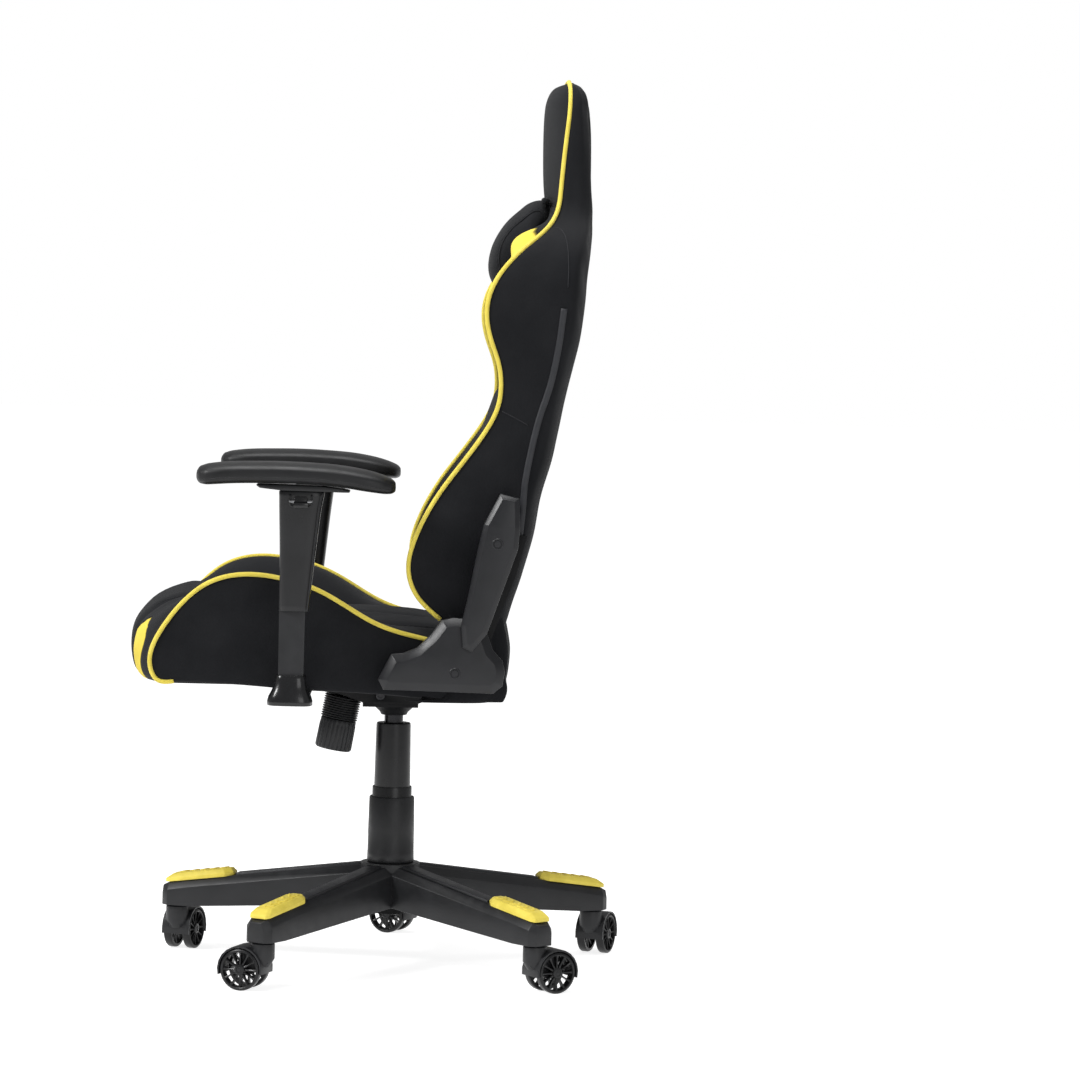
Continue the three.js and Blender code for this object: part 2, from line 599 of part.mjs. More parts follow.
function reclinerCovers() {
  const lower = outline([[-13, 432], [143, 430], [156, 441], [159, 461], [155, 477], [141, 492],
    [133, 514], [120, 534], [84, 537], [68, 533], [52, 511], [33, 493], [14, 485], [-3, 483], [-21, 447]]);
  const lowerShell = cut(bevelledPlate(lower, 262, 279, 8), hollowOf(lower, 260, 274, 5));
  placePair("hinge_cover", join(lowerShell, screwBoss(88, 458, 279)), material.nylon);

  const upper = outline([[146, 715], [173, 709], [175, 665], [173, 637], [150, 569], [139, 537],
    [132, 516], [111, 490], [98, 496], [95, 528], [105, 574], [116, 635], [124, 672]]);
  const raised = outline([[146, 715], [173, 709], [175, 665], [173, 637], [150, 569], [144, 552],
    [101, 552], [105, 574], [116, 635], [124, 672]]);
  const face = bevelledPlate(upper, 280, 293, 5);
  const skirt = cut(sidePlate(raised, 257.5, 281), hollowOf(raised, 255, 285, 3));
  const capRing = cut(rodX(8.2, 292, 296, 144, 644, 20), rodX(6.8, 290, 298, 144, 644, 20));
  placePair("bracket_cover", cut(join(face, skirt), capRing), material.nylon);
}

function reclineLever() {
  const hub = rodX(13, -292, -281, 88, 458, 20);
  const bar = loft([88, 60, 20, -14].map((y, i) => {
    const half = [9, 8, 9, 6][i];
    const z = [458, 460, 463, 465][i];
    return [[-282, y, z - half], [-282, y, z + half], [-292, y, z + half - 2], [-295, y, z], [-292, y, z - half + 2]];
  }));
  place("recline_lever", cut(join(hub, bar), rodX(9, -283, -279, 88, 458, 16)), material.nylon);
}

// ---- Armrests ----
function boxRing(z, x, y, halfX, halfY, corner) {
  const [u, v] = [halfX - corner, halfY - corner];
  return [[u, -halfY], [halfX, -v], [halfX, v], [u, halfY], [-u, halfY], [-halfX, v], [-halfX, -v],
    [-u, -halfY]].map(([dx, dy]) => [x + dx, y + dy, z]);
}

function taper(stations, corner) {
  return loft(stations.map(([z, y, halfX, halfY]) => boxRing(z, ARM_X, y, halfX, halfY, corner)));
}

const SLEEVE = { bottom: 544, top: 714 };
const POST = { halfX: 11, halfY: 17.5, top: 636 };

function armPost() {
  const post = block([ARM_X - POST.halfX, ARM_Y - POST.halfY, 420], [ARM_X + POST.halfX, ARM_Y + POST.halfY, POST.top]);
  const foot = block([122, ARM_Y - 26, 419.5], [ARM_X + POST.halfX, ARM_Y + 26, 424]);
  const pad = block([122, ARM_Y - 26, 419.5], [200, ARM_Y + 26, 430]);
  const corners = [18, -30].map((dy) => block([ARM_X - 25, ARM_Y + dy, 410], [340, ARM_Y + dy + 12, 430]));
  const wall = 2.5;
  const bore = block([ARM_X - POST.halfX + wall, ARM_Y - POST.halfY + wall, 424],
    [ARM_X + POST.halfX - wall, ARM_Y + POST.halfY - wall, POST.top + 1]);
  return cut(join(post, cut(foot, ...corners), pad), bore);
}

function armBoot() {
  const shell = taper([[411, ARM_Y - 1, 26, 32], [416, ARM_Y - 1, 26, 32], [440, ARM_Y, 19, 23], [453, ARM_Y, 17, 21.5]], 6);
  const inside = taper([[408, ARM_Y - 1, 22, 28], [436, ARM_Y, 16, 20.5], [444, ARM_Y, POST.halfX + GAP, POST.halfY + GAP],
    [456, ARM_Y, POST.halfX + GAP, POST.halfY + GAP]], 0.3);
  const doorway = block([ARM_X - 40, ARM_Y - 26.5, 400], [ARM_X - 12, ARM_Y + 26.5, 424.5]);
  return cut(shell, inside, doorway);
}

function armSleeve() {
  const outer = taper([[SLEEVE.bottom, -141, 15.5, 20.5], [620, -139, 17.5, 25], [SLEEVE.top - 6, -131, 21, 36],
    [SLEEVE.top, -131, 21, 36]], 6);
  const flange = sidePlate(outline([[-192, 722], [-100, 722], [-64, 717], [-66, 712.5], [-104, 711], [-166, 712],
    [-188, 717]]), ARM_X - 26, ARM_X + 26);
  const channel = block([ARM_X - POST.halfX - GAP, ARM_Y - POST.halfY - GAP, SLEEVE.bottom - 2],
    [ARM_X + POST.halfX + GAP, ARM_Y + POST.halfY + GAP, 709]);
  const pocket = block([ARM_X + 14, -147, 682], [ARM_X + 24, -121, 711.5]);
  return cut(join(outer, flange), channel, pocket);
}

function armPad() {
  const stations = [
    // y, middle height, half height, half width
    [-282, 730, 5, 20], [-274, 732.5, 11, 34], [-255, 735.5, 13.5, 42], [-222, 738, 14.5, 45],
    [-150, 738.6, 15.2, 46], [-96, 737.4, 14.8, 46], [-60, 734, 15, 45], [-25, 727.5, 13.5, 42],
    [-8, 724, 10, 34], [-1, 722.5, 5, 20],
  ];
  return loft(stations.map(([y, middle, halfZ, halfX]) => {
    const c = 0.38;
    return [[-1, -c], [-1, c], [-1 + c, 1], [0, 1.06], [1 - c, 1], [1, c], [1, -c], [1 - c, -1], [-1 + c, -1]]
      .map(([u, w]) => [ARM_X + u * halfX, y, middle + w * halfZ]);
  }));
}

function armrests() {
  placePair("arm_post", armPost(), material.steel);
  placePair("arm_boot", armBoot(), material.gloss);
  placePair("arm_sleeve", armSleeve(), material.nylon);
  const tab = block([ARM_X + 15, -141, 696], [ARM_X + 20, -127, 707]);
  const lip = block([ARM_X + 15, -144.5, 690], [ARM_X + 26, -123.5, 696.5]);
  placePair("arm_button", join(tab, lip), material.gloss);
  placePair("arm_pad", armPad(), material.padSkin);
}

starBase();
footPads();
casters();
gasColumn();
tiltMechanism();
tensionKnob();
liftLever();
seatFrame();
seatCushions();
backCushions();
backFrame();
pillows();
reclinerCovers();
reclineLever();
armrests();

export default chair;
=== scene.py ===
"""A racing-style gaming chair, seen from the sitter's left: woven black upholstery with yellow piping
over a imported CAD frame. Lengths in the tables are millimetres from the gas column's axis on the floor;
at() turns them into metres in the frame."""
import json
import math

import bmesh
import bpy
import numpy as np
from mathutils import Matrix, Vector
from mathutils.bvhtree import BVHTree

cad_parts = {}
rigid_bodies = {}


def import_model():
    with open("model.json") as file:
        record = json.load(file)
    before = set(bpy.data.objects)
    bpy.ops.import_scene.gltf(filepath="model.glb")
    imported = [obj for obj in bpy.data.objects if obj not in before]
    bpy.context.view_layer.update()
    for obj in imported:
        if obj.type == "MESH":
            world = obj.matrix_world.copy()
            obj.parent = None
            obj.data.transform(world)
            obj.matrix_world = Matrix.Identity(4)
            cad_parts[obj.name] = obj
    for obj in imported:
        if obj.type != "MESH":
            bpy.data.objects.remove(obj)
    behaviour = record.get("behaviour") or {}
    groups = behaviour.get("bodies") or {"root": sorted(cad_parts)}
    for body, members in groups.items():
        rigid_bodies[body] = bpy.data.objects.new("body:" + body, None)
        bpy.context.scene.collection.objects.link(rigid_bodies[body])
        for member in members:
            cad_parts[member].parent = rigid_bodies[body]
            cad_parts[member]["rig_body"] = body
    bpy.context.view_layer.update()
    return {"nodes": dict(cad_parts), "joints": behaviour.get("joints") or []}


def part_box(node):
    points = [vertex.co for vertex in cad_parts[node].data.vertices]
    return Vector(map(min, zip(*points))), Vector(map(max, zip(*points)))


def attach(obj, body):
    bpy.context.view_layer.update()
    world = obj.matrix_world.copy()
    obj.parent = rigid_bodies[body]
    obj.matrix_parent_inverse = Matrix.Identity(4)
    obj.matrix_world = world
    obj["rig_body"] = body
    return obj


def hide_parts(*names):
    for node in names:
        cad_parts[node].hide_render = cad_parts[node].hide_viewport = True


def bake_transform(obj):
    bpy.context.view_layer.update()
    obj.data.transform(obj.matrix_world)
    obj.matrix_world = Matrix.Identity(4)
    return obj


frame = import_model()
nodes = frame["nodes"]
joints = {j["name"]: j for j in frame["joints"]}

MM = 0.001
SIDES = (("left", 1), ("right", -1))
column_low, column_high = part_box("gas_cylinder")
COLUMN_Y = (column_low.y + column_high.y) / 2 / MM


def at(x, y, z):
    """A point given in millimetres from the column's axis, in the frame's metres."""
    return Vector((x, y + COLUMN_Y, z)) * MM


# ---- materials
YELLOW_LOW, YELLOW_HIGH = (0.66, 0.53, 0.065), (0.77, 0.63, 0.095)
BLACK_LOW, BLACK_HIGH = (0.0063, 0.0067, 0.0079), (0.0101, 0.0105, 0.0119)


def shader_input(mat, name):
    return mat.node_tree.nodes["Principled BSDF"].inputs[name]


def material(name, color, roughness, metallic=0.0, coat=0.0, sheen=0.0, specular=0.35):
    mat = bpy.data.materials.new(name)
    mat.use_nodes = True
    for key, value in (("Base Color", (*color, 1)), ("Roughness", roughness), ("Metallic", metallic),
                       ("Specular IOR Level", specular), ("Coat Weight", coat),
                       ("Sheen Weight", sheen), ("Sheen Roughness", 0.45)):
        shader_input(mat, key).default_value = value
    mat.diffuse_color = (*color, 1)
    return mat


def add_node(mat, kind, inputs, output=0, **settings):
    """Adds a node, each of its inputs a value or another node's output, and returns one output."""
    made = mat.node_tree.nodes.new(kind)
    for key, value in settings.items():
        setattr(made, key, value)
    for key, value in inputs.items():
        if isinstance(value, bpy.types.NodeSocket):
            mat.node_tree.links.new(value, made.inputs[key])
        else:
            made.inputs[key].default_value = value
    return made.outputs[output]


def feed(mat, name, source):
    mat.node_tree.links.new(source, shader_input(mat, name))


def math_node(mat, operation, *values):
    return add_node(mat, "ShaderNodeMath", dict(enumerate(values)), operation=operation)


def object_place(mat):
    return add_node(mat, "ShaderNodeTexCoord", {}, "Object")


def noise(mat, scale, detail=3.0, roughness=0.5):
    inputs = {"Vector": object_place(mat), "Scale": scale, "Detail": detail, "Roughness": roughness}
    return add_node(mat, "ShaderNodeTexNoise", inputs, "Fac")


def ramp(mat, source, start, low, high):
    """Colour low where the source is at start or below, and high where it is 0.7 or more."""
    color = add_node(mat, "ShaderNodeValToRGB", {"Fac": source}, "Color")
    for element, place, shade in zip(color.node.color_ramp.elements, (start, 0.7), (low, high)):
        element.position = place
        element.color = (*shade, 1)
    return color


def map_range(mat, source, low, high, ends=(0, 1), kind="SMOOTHSTEP"):
    """The first of the ends at low and below, the second at high and above."""
    inputs = {"Value": source, "From Min": low, "From Max": high, "To Min": ends[0], "To Max": ends[1]}
    return add_node(mat, "ShaderNodeMapRange", inputs, "Result", interpolation_type=kind)


def mix_color(mat, share, a, b, blend="MIX"):
    return add_node(mat, "ShaderNodeMix", {0: share, 6: a, 7: b}, 2, data_type="RGBA", blend_type=blend)


def mottle(mat, low, high, scale):
    """Colour drifts between two shades over the surface."""
    feed(mat, "Base Color", ramp(mat, noise(mat, scale, 4.0), 0.3, low, high))


def uneven_gloss(mat, low, high, scale):
    feed(mat, "Roughness", map_range(mat, noise(mat, scale), 0.3, 0.7, (low, high), "LINEAR"))


def bump(mat, *heights):
    """Stacks bumps, each (height socket, depth in millimetres, strength)."""
    below = {}
    for height, depth, strength in heights:
        inputs = {"Height": height, "Distance": depth * MM, "Strength": strength, **below}
        below = {"Normal": add_node(mat, "ShaderNodeBump", inputs, "Normal")}
    feed(mat, "Normal", below["Normal"])


def weave(mat, pitch):
    """Over-and-under threads of that pitch, in millimetres, on surfaces that face any way."""
    parts = add_node(mat, "ShaderNodeSeparateXYZ", {0: object_place(mat)}).node.outputs
    x, y, z = (math_node(mat, "MULTIPLY", part, 2 * math.pi / (pitch * MM)) for part in parts)
    across, other, up = (math_node(mat, "SINE", line) for line in (
        math_node(mat, "ADD", x, y), math_node(mat, "SUBTRACT", x, y), z))
    checks = math_node(mat, "MULTIPLY", across, up)
    return math_node(mat, "ADD", checks, math_node(mat, "MULTIPLY", other, 0.5))


def woven(name, panels=None):
    """Black cloth. panels gives the two shades of panels, marked by the stored distances panel_gap and
    seam_gap. Along the seams and panel edges the colour is darkened, painted shade in their grooves."""
    mat = material(name, BLACK_HIGH, 0.92, sheen=0.05, specular=0.12)
    mottle(mat, BLACK_LOW, BLACK_HIGH, 14.0)
    bumps = [(noise(mat, 18.0), 1.2, 0.3), (noise(mat, 900.0, 2.0), 0.25, 0.45), (weave(mat, 1.9), 0.16, 0.5)]
    if panels:
        panel, seam = (add_node(mat, "ShaderNodeAttribute", {}, "Fac", attribute_name=key)
                       for key in ("panel_gap", "seam_gap"))
        black = shader_input(mat, "Base Color").links[0].from_socket
        bright = ramp(mat, noise(mat, 20.0, 4.0), 0.3, *panels)
        cloth = mix_color(mat, map_range(mat, panel, -0.4, 0.4), black, bright)
        edge = map_range(mat, math_node(mat, "ABSOLUTE", panel), 0.2, 1.8)
        # painted shade: near seams and panel edges the cloth's colour is pulled towards black, the shade in
        # their grooves; the same mask also sinks the grooves as a bump
        groove_and_painted_shade = math_node(mat, "MULTIPLY", edge, map_range(mat, seam, 0.2, 2.4))
        shade = ramp(mat, groove_and_painted_shade, 0.0, (0.004, 0.004, 0.0045), (1, 1, 1))
        feed(mat, "Base Color", mix_color(mat, 0.85, cloth, shade, "MULTIPLY"))
        bumps.insert(0, (groove_and_painted_shade, 2.0, 0.9))
    bump(mat, *bumps)
    return mat


def moulded(name, low, high, rough_low, rough_high, grain=0.12, coat=0.0, specular=0.33):
    mat = material(name, high, rough_high, coat=coat, specular=specular)
    mottle(mat, low, high, 30.0)
    uneven_gloss(mat, rough_low, rough_high, 60.0)
    bump(mat, (noise(mat, 1400.0, 2.0, 0.6), grain, 0.5))
    return mat


fabric = woven("black_weave")
panelled = woven("panelled_weave", ((0.56, 0.44, 0.052), (0.66, 0.53, 0.075)))

yellow_cord = material("yellow_cord", YELLOW_HIGH, 0.65, sheen=0.1, specular=0.25)
mottle(yellow_cord, YELLOW_LOW, YELLOW_HIGH, 40.0)
bump(yellow_cord, (weave(yellow_cord, 1.4), 0.3, 0.7), (noise(yellow_cord, 700.0), 0.15, 0.4))

thread = material("thread", (0.018, 0.0185, 0.021), 0.75, specular=0.2)
bump(thread, (weave(thread, 0.9), 0.15, 0.6))
mottle(thread, (0.014, 0.0145, 0.0165), (0.022, 0.0225, 0.025), 200.0)

trim_strip = material("trim_strip", (0.015, 0.016, 0.019), 0.5, specular=0.3)
mottle(trim_strip, (0.013, 0.014, 0.0165), (0.018, 0.019, 0.0225), 60.0)
bump(trim_strip, (noise(trim_strip, 1100.0), 0.1, 0.4))

base_plastic = moulded("base_plastic", (0.0085, 0.0088, 0.0098), (0.0125, 0.0129, 0.0145), 0.36, 0.50)
# lighter than the base's plastic: a painted highlight for the strips on top of the base arms
strip_plastic_with_painted_highlight = moulded("strip_plastic_with_painted_highlight", (0.013, 0.0135, 0.0155), (0.021, 0.0215, 0.024), 0.42, 0.55, 0.4)
cover_plastic = moulded("cover_plastic", (0.0058, 0.0061, 0.0075), (0.0088, 0.0092, 0.011), 0.31, 0.38)
satin_plastic = moulded("satin_plastic", (0.0055, 0.0056, 0.0063), (0.0085, 0.0087, 0.0096), 0.27, 0.36, 0.05)
post_plastic = moulded("post_plastic", (0.010, 0.0103, 0.0115), (0.0145, 0.0149, 0.0165), 0.40, 0.50, 0.08)
gloss_plastic = moulded("gloss_plastic", (0.004, 0.0041, 0.0047), (0.0062, 0.0064, 0.0072), 0.16, 0.26,
                        0.03, 0.15)
wheel_plastic = moulded("wheel_plastic", (0.0045, 0.0046, 0.0052), (0.007, 0.0072, 0.008), 0.24, 0.38, 0.05)
painted_steel = moulded("painted_steel", (0.0035, 0.0036, 0.004), (0.0055, 0.0057, 0.0063), 0.44, 0.56,
                        0.08, specular=0.12)

arm_skin = material("soft_arm_skin", (0.006, 0.0061, 0.0067), 0.42, specular=0.28)
mottle(arm_skin, (0.0045, 0.0046, 0.0052), (0.0075, 0.0077, 0.0085), 40.0)
uneven_gloss(arm_skin, 0.36, 0.5, 30.0)
pores = {"Vector": object_place(arm_skin), "Scale": 700.0}
bump(arm_skin, (add_node(arm_skin, "ShaderNodeTexVoronoi", pores, "Distance"), 0.12, 0.4),
     (noise(arm_skin, 40.0), 0.6, 0.25))

grip_rubber = material("yellow_grip", YELLOW_HIGH, 0.55, specular=0.3)
mottle(grip_rubber, (0.62, 0.50, 0.065), (0.76, 0.62, 0.10), 50.0)
uneven_gloss(grip_rubber, 0.48, 0.62, 80.0)
bump(grip_rubber, (noise(grip_rubber, 1300.0), 0.12, 0.5))

zinc = material("zinc_plate", (0.42, 0.43, 0.45), 0.28, metallic=1.0)
mottle(zinc, (0.36, 0.37, 0.39), (0.48, 0.49, 0.51), 90.0)
uneven_gloss(zinc, 0.2, 0.36, 120.0)

bright_lip = material("polished_lip", (0.8, 0.81, 0.83), 0.3, metallic=1.0)
mottle(bright_lip, (0.74, 0.75, 0.77), (0.84, 0.85, 0.87), 120.0)

black_rod = material("black_rod", (0.02, 0.02, 0.022), 0.22, metallic=0.6)
mottle(black_rod, (0.016, 0.016, 0.018), (0.026, 0.026, 0.028), 70.0)
uneven_gloss(black_rod, 0.16, 0.28, 100.0)


# ---- mesh helpers
def edited(mesh, *changes):
    """Makes each change to the mesh, as a bmesh."""
    bm = bmesh.new()
    bm.from_mesh(mesh)
    for change in changes:
        change(bm)
    bm.to_mesh(mesh)
    bm.free()
    return mesh


def outward(bm):
    bmesh.ops.recalc_face_normals(bm, faces=bm.faces)


def split_ngons(bm):
    bmesh.ops.triangulate(bm, faces=[f for f in bm.faces if len(f.verts) > 4])


def joined(meshes):
    """One mesh made of several, which are used up."""
    bm = bmesh.new()
    for mesh in meshes:
        bm.from_mesh(mesh)
        bpy.data.meshes.remove(mesh)
    mesh = bpy.data.meshes.new("joined")
    bm.to_mesh(mesh)
    bm.free()
    return mesh


def place_object(name, mesh, mat):
    mesh.name = name
    mesh.validate()
    mesh.materials.clear()
    mesh.materials.append(mat)
    mesh.polygons.foreach_set("use_smooth", [True] * len(mesh.polygons))
    obj = bpy.data.objects.new(name, mesh)
    bpy.context.scene.collection.objects.link(obj)
    return obj


def add_object(name, mesh, body, mat, slot, *replaced):
    """A smooth piece that rides on a body and may stand for CAD nodes."""
    obj = place_object(name, mesh, mat)
    if body:
        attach(obj, body)
    if replaced:
        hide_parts(*replaced)
    return obj


def from_points(points, faces):
    """A mesh from points in millimetres about the column."""
    mesh = bpy.data.meshes.new("made")
    mesh.from_pydata([at(*p) for p in points], [], faces)
    return edited(mesh, outward)


def sharpen(obj, degrees=35):
    obj.data.set_sharp_from_angle(angle=math.radians(degrees))
    return obj


def bevel_mesh(mesh, width, segments=2, degrees=24):
    """Rounds every edge sharper than that angle, by a width in millimetres."""
    def rounding(bm):
        bmesh.ops.remove_doubles(bm, verts=bm.verts, dist=2e-6)
        bmesh.ops.dissolve_limit(bm, angle_limit=math.radians(1.0), verts=bm.verts, edges=bm.edges)
        edges = [e for e in bm.edges if len(e.link_faces) == 2
                 and e.calc_face_angle(0) > math.radians(degrees)]
        bmesh.ops.bevel(bm, geom=edges, offset=width * MM, offset_type="OFFSET", segments=segments,
                        profile=0.5, affect="EDGES", clamp_overlap=True)
    return edited(mesh, rounding, split_ngons)


def refined(node, name, mat, width, segments, slot, degrees=24):
    """A CAD node's shape with its edges rounded, standing for that node."""
    mesh = bevel_mesh(nodes[node].data.copy(), width, segments, degrees)
    return sharpen(add_object(name, mesh, nodes[node]["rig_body"], mat, slot, node))


def circle(count, start=0.0):
    """(cosine, sine) of that many even turns, from start steps on."""
    turns = (2 * math.pi * (k + start) / count for k in range(count))
    return [(math.cos(turn), math.sin(turn)) for turn in turns]


def loft_mesh(rings, closing=False):
    """A skin over rings of points, with its ends capped, or its last ring joined to its first."""
    count = len(rings[0])
    points = [p for ring in rings for p in ring]
    faces = []
    for r in range(len(rings) - (not closing)):
        a, b = r * count, (r + 1) % len(rings) * count
        for i in range(count):
            j = (i + 1) % count
            faces.append((a + i, a + j, b + j, b + i))
    if not closing:
        faces.append(tuple(range(count))[::-1])
        faces.append(tuple(range(len(points) - count, len(points))))
    return from_points(points, faces)


def turned_mesh(profile, segments=64, place=Matrix.Identity(4)):
    """A turned shape about z from a closed (radius, z) outline; place moves it, in millimetres."""
    points = [place @ Vector((r * c, r * s, z)) for c, s in circle(segments) for r, z in profile]
    faces = []
    count = len(profile)
    for s in range(segments):
        t = (s + 1) % segments
        for i in range(count):
            j = (i + 1) % count
            if profile[i][0] < 1e-9 and profile[j][0] < 1e-9:
                continue
            faces.append((s * count + i, t * count + i, t * count + j, s * count + j))
    return edited(from_points(points, faces),
                  lambda bm: bmesh.ops.remove_doubles(bm, verts=bm.verts, dist=1e-7), outward)


def smooth_path(points, spacing):
    """A smooth line through the points, resampled at about that spacing in millimetres."""
    pts = np.array(points, float)
    ends = np.vstack([2 * pts[0] - pts[1], pts, 2 * pts[-1] - pts[-2]])
    out = []
    for i in range(1, len(ends) - 2):
        p0, p1, p2, p3 = ends[i - 1:i + 3]
        steps = max(2, int(np.linalg.norm(p2 - p1) / spacing))
        for s in np.linspace(0, 1, steps, endpoint=False):
            out.append(0.5 * (2 * p1 + (p2 - p0) * s + (2 * p0 - 5 * p1 + 4 * p2 - p3) * s * s
                              + (3 * p1 - p0 - 3 * p2 + p3) * s ** 3))
    out.append(pts[-1])
    return np.array(out)


def tube_mesh(path, radius, sides, squeeze=1.0, flat_axis=None):
    """A tube along a line of points; squeeze flattens it along flat_axis."""
    path = np.asarray(path, float)
    tangents = np.gradient(path, axis=0)
    tangents /= np.linalg.norm(tangents, axis=1)[:, None]
    normal = np.cross(tangents[0], (0.3, 0.5, 0.8))
    normal /= np.linalg.norm(normal)
    rings = []
    for point, tangent in zip(path, tangents):
        if flat_axis is not None:
            other = np.array(flat_axis, float)
            other -= tangent * other.dot(tangent)
            other /= np.linalg.norm(other)
            normal = np.cross(tangent, other)
        else:
            normal = normal - tangent * normal.dot(tangent)
            normal /= np.linalg.norm(normal)
            other = np.cross(tangent, normal)
        rings.append([point + radius * (c * normal + squeeze * s * other) for c, s in circle(sides)])
    return loft_mesh(rings)


def reader(table):
    """Smooth reading of rows of (key, value, value...)."""
    rows = np.array(table, float)
    keys, values = rows[:, 0], rows[:, 1:]
    slopes = np.gradient(values, keys, axis=0)

    def read(key):
        q = np.clip(np.asarray(key, float), keys[0], keys[-1])
        i = np.clip(np.searchsorted(keys, q, side="right") - 1, 0, len(keys) - 2)
        span = keys[i + 1] - keys[i]
        s = ((q - keys[i]) / span)[..., None]
        span = span[..., None]
        return ((2 * s ** 3 - 3 * s ** 2 + 1) * values[i] + (s ** 3 - 2 * s ** 2 + s) * span * slopes[i]
                + (3 * s ** 2 - 2 * s ** 3) * values[i + 1] + (s ** 3 - s ** 2) * span * slopes[i + 1])
    return read


def box_lattice(*counts):
    """Points of a cube's surface, -1 to 1 each way, with that many cells, and its quads."""
    index, points, quads = {}, [], []

    def vertex(key):
        if key not in index:
            index[key] = len(points)
            points.append([2 * k / n - 1 for k, n in zip(key, counts)])
        return index[key]
    for axis in range(3):
        u, v = [k for k in range(3) if k != axis]
        for end in (0, counts[axis]):
            for i in range(counts[u]):
                for j in range(counts[v]):
                    corners = []
                    for di, dj in ((0, 0), (1, 0), (1, 1), (0, 1)):
                        key = [0, 0, 0]
                        key[axis], key[u], key[v] = end, i + di, j + dj
                        corners.append(vertex(tuple(key)))
                    quads.append(corners)
    return np.array(points), quads, index


def step(low, high, value):
    t = np.clip((value - low) / (high - low), 0, 1)
    return t * t * (3 - 2 * t)


def hump(value, middle, width):
    return np.exp(-((value - middle) / width) ** 2)


def evaluated(obj):
    return obj.evaluated_get(bpy.context.evaluated_depsgraph_get())


PUFF_FRAMES = 16


def puff(mesh, held, cap, pressure=4.0):
    """Cloth simulation under inner pressure. held marks the seams, which stay put, and cap is the
    furthest each point may move, in millimetres."""
    obj = bpy.data.objects.new("puffing", mesh)
    bpy.context.scene.collection.objects.link(obj)
    rest = np.array([v.co for v in mesh.vertices])
    group = obj.vertex_groups.new(name="held")
    group.add([int(i) for i in np.flatnonzero(held)], 1.0, "REPLACE")
    cloth = obj.modifiers.new("Puff", "CLOTH")
    s = cloth.settings
    s.quality = 4
    s.mass = 0.25
    s.tension_stiffness = s.compression_stiffness = 14
    s.shear_stiffness = 6
    s.bending_stiffness = 2.0
    s.vertex_group_mass = "held"
    s.use_pressure = True
    s.uniform_pressure_force = pressure
    s.effector_weights.gravity = 0
    cloth.collision_settings.use_collision = False
    for number in range(1, PUFF_FRAMES + 1):
        bpy.context.scene.frame_set(number)
    shown = evaluated(obj)
    moved = np.array([v.co for v in shown.to_mesh().vertices]) - rest
    shown.to_mesh_clear()
    far = np.linalg.norm(moved, axis=1)
    limit = cap * MM
    share = limit * np.tanh(far / np.maximum(limit, 1e-9)) / np.maximum(far, 1e-9)
    share = np.where(far > 1e-9, share, 0)
    mesh.vertices.foreach_set("co", (rest + moved * share[:, None]).ravel())
    bpy.data.objects.remove(obj)
    bpy.context.scene.frame_set(1)


def subdivide(mesh):
    obj = bpy.data.objects.new("smoothing", mesh)
    bpy.context.scene.collection.objects.link(obj)
    obj.modifiers.new("Smooth", "SUBSURF").levels = 1
    bpy.context.view_layer.update()
    result = bpy.data.meshes.new_from_object(evaluated(obj), preserve_all_data_layers=True,
                                             depsgraph=bpy.context.evaluated_depsgraph_get())
    bpy.data.objects.remove(obj)
    return result


def to_mm(mesh):
    """A mesh's points in millimetres about the column."""
    co = np.array([v.co for v in mesh.vertices]) / MM
    co[:, 1] -= COLUMN_Y
    return co


def tree_of(mesh):
    mesh.calc_loop_triangles()
    return BVHTree.FromPolygons([v.co for v in mesh.vertices], [t.vertices for t in mesh.loop_triangles])


def drape(path, tree, lift):
    """Moves each point of a line to the nearest point of a surface, lifted off it."""
    out = []
    for p in path:
        place, normal, _, _ = tree.find_nearest(at(*p))
        place = (place + normal * lift * MM) / MM
        out.append((place.x, place.y - COLUMN_Y, place.z))
    return np.array(out)


def eased(path, times=2):
    """Evens out small kinks in a line, its ends staying put."""
    path = np.array(path)
    for _ in range(times):
        path[1:-1] = (path[:-2] + 2 * path[1:-1] + path[2:]) / 4
    return path


def crease(mesh, flags):
    """Keeps the edges between flagged points sharp when the mesh is subdivided."""
    layer = mesh.attributes.new("crease_edge", "FLOAT", "EDGE")
    ends = np.array([tuple(e.vertices) for e in mesh.edges])
    layer.data.foreach_set("value", (flags[ends[:, 0]] & flags[ends[:, 1]]).astype(np.float32))


CORD_RADIUS, CORD_LIFT = 3.3, 1.2  # the piping, and how far its middle stands off the cloth
DASH, DASH_GAP = 5.2, 2.4  # a stitch's length and the gap to the next
SEAM_SHIFT = 4.5  # from a seam to the stitches beside it


def cord(name, mesh, index, keys, body, tail=()):
    """A piping cord sewn into an edge of a shell, between those lattice points, after a tail of
    offsets from the first."""
    co = to_mm(mesh)
    path = np.array([co[index[k]] + np.array(mesh.vertices[index[k]].normal * CORD_LIFT) for k in keys])
    if tail:
        path = np.vstack([path[0] + np.array(tail), path])
    path = smooth_path(eased(path, 3), 5)
    add_object(name, tube_mesh(path, CORD_RADIUS, 12), body, yellow_cord, "yellow")


def stitches(name, path, tree, body, radius=0.55):
    """Separate stitches of thread along a line, laid on a surface."""
    path = smooth_path(drape(smooth_path(path, 6), tree, 0.25), 2)
    lengths = np.concatenate([[0], np.cumsum(np.linalg.norm(np.diff(path, axis=0), axis=1))])
    pieces = []
    for start in np.arange(0, lengths[-1] - DASH, DASH + DASH_GAP):
        knots = np.linspace(start, start + DASH, 4)
        line = np.stack([np.interp(knots, lengths, path[:, k]) for k in range(3)], 1)
        pieces.append(tube_mesh(line, radius, 6))
    add_object(name, joined(pieces), body, thread, "fabric")


def seam_stitches(name, labels, line, tree, body):
    """A row of stitches on both sides of a seam; line gives the points at an offset from it."""
    for label, offset in zip(labels, (-SEAM_SHIFT, SEAM_SHIFT)):
        stitches(f"{name}_{label}", line(offset), tree, body)


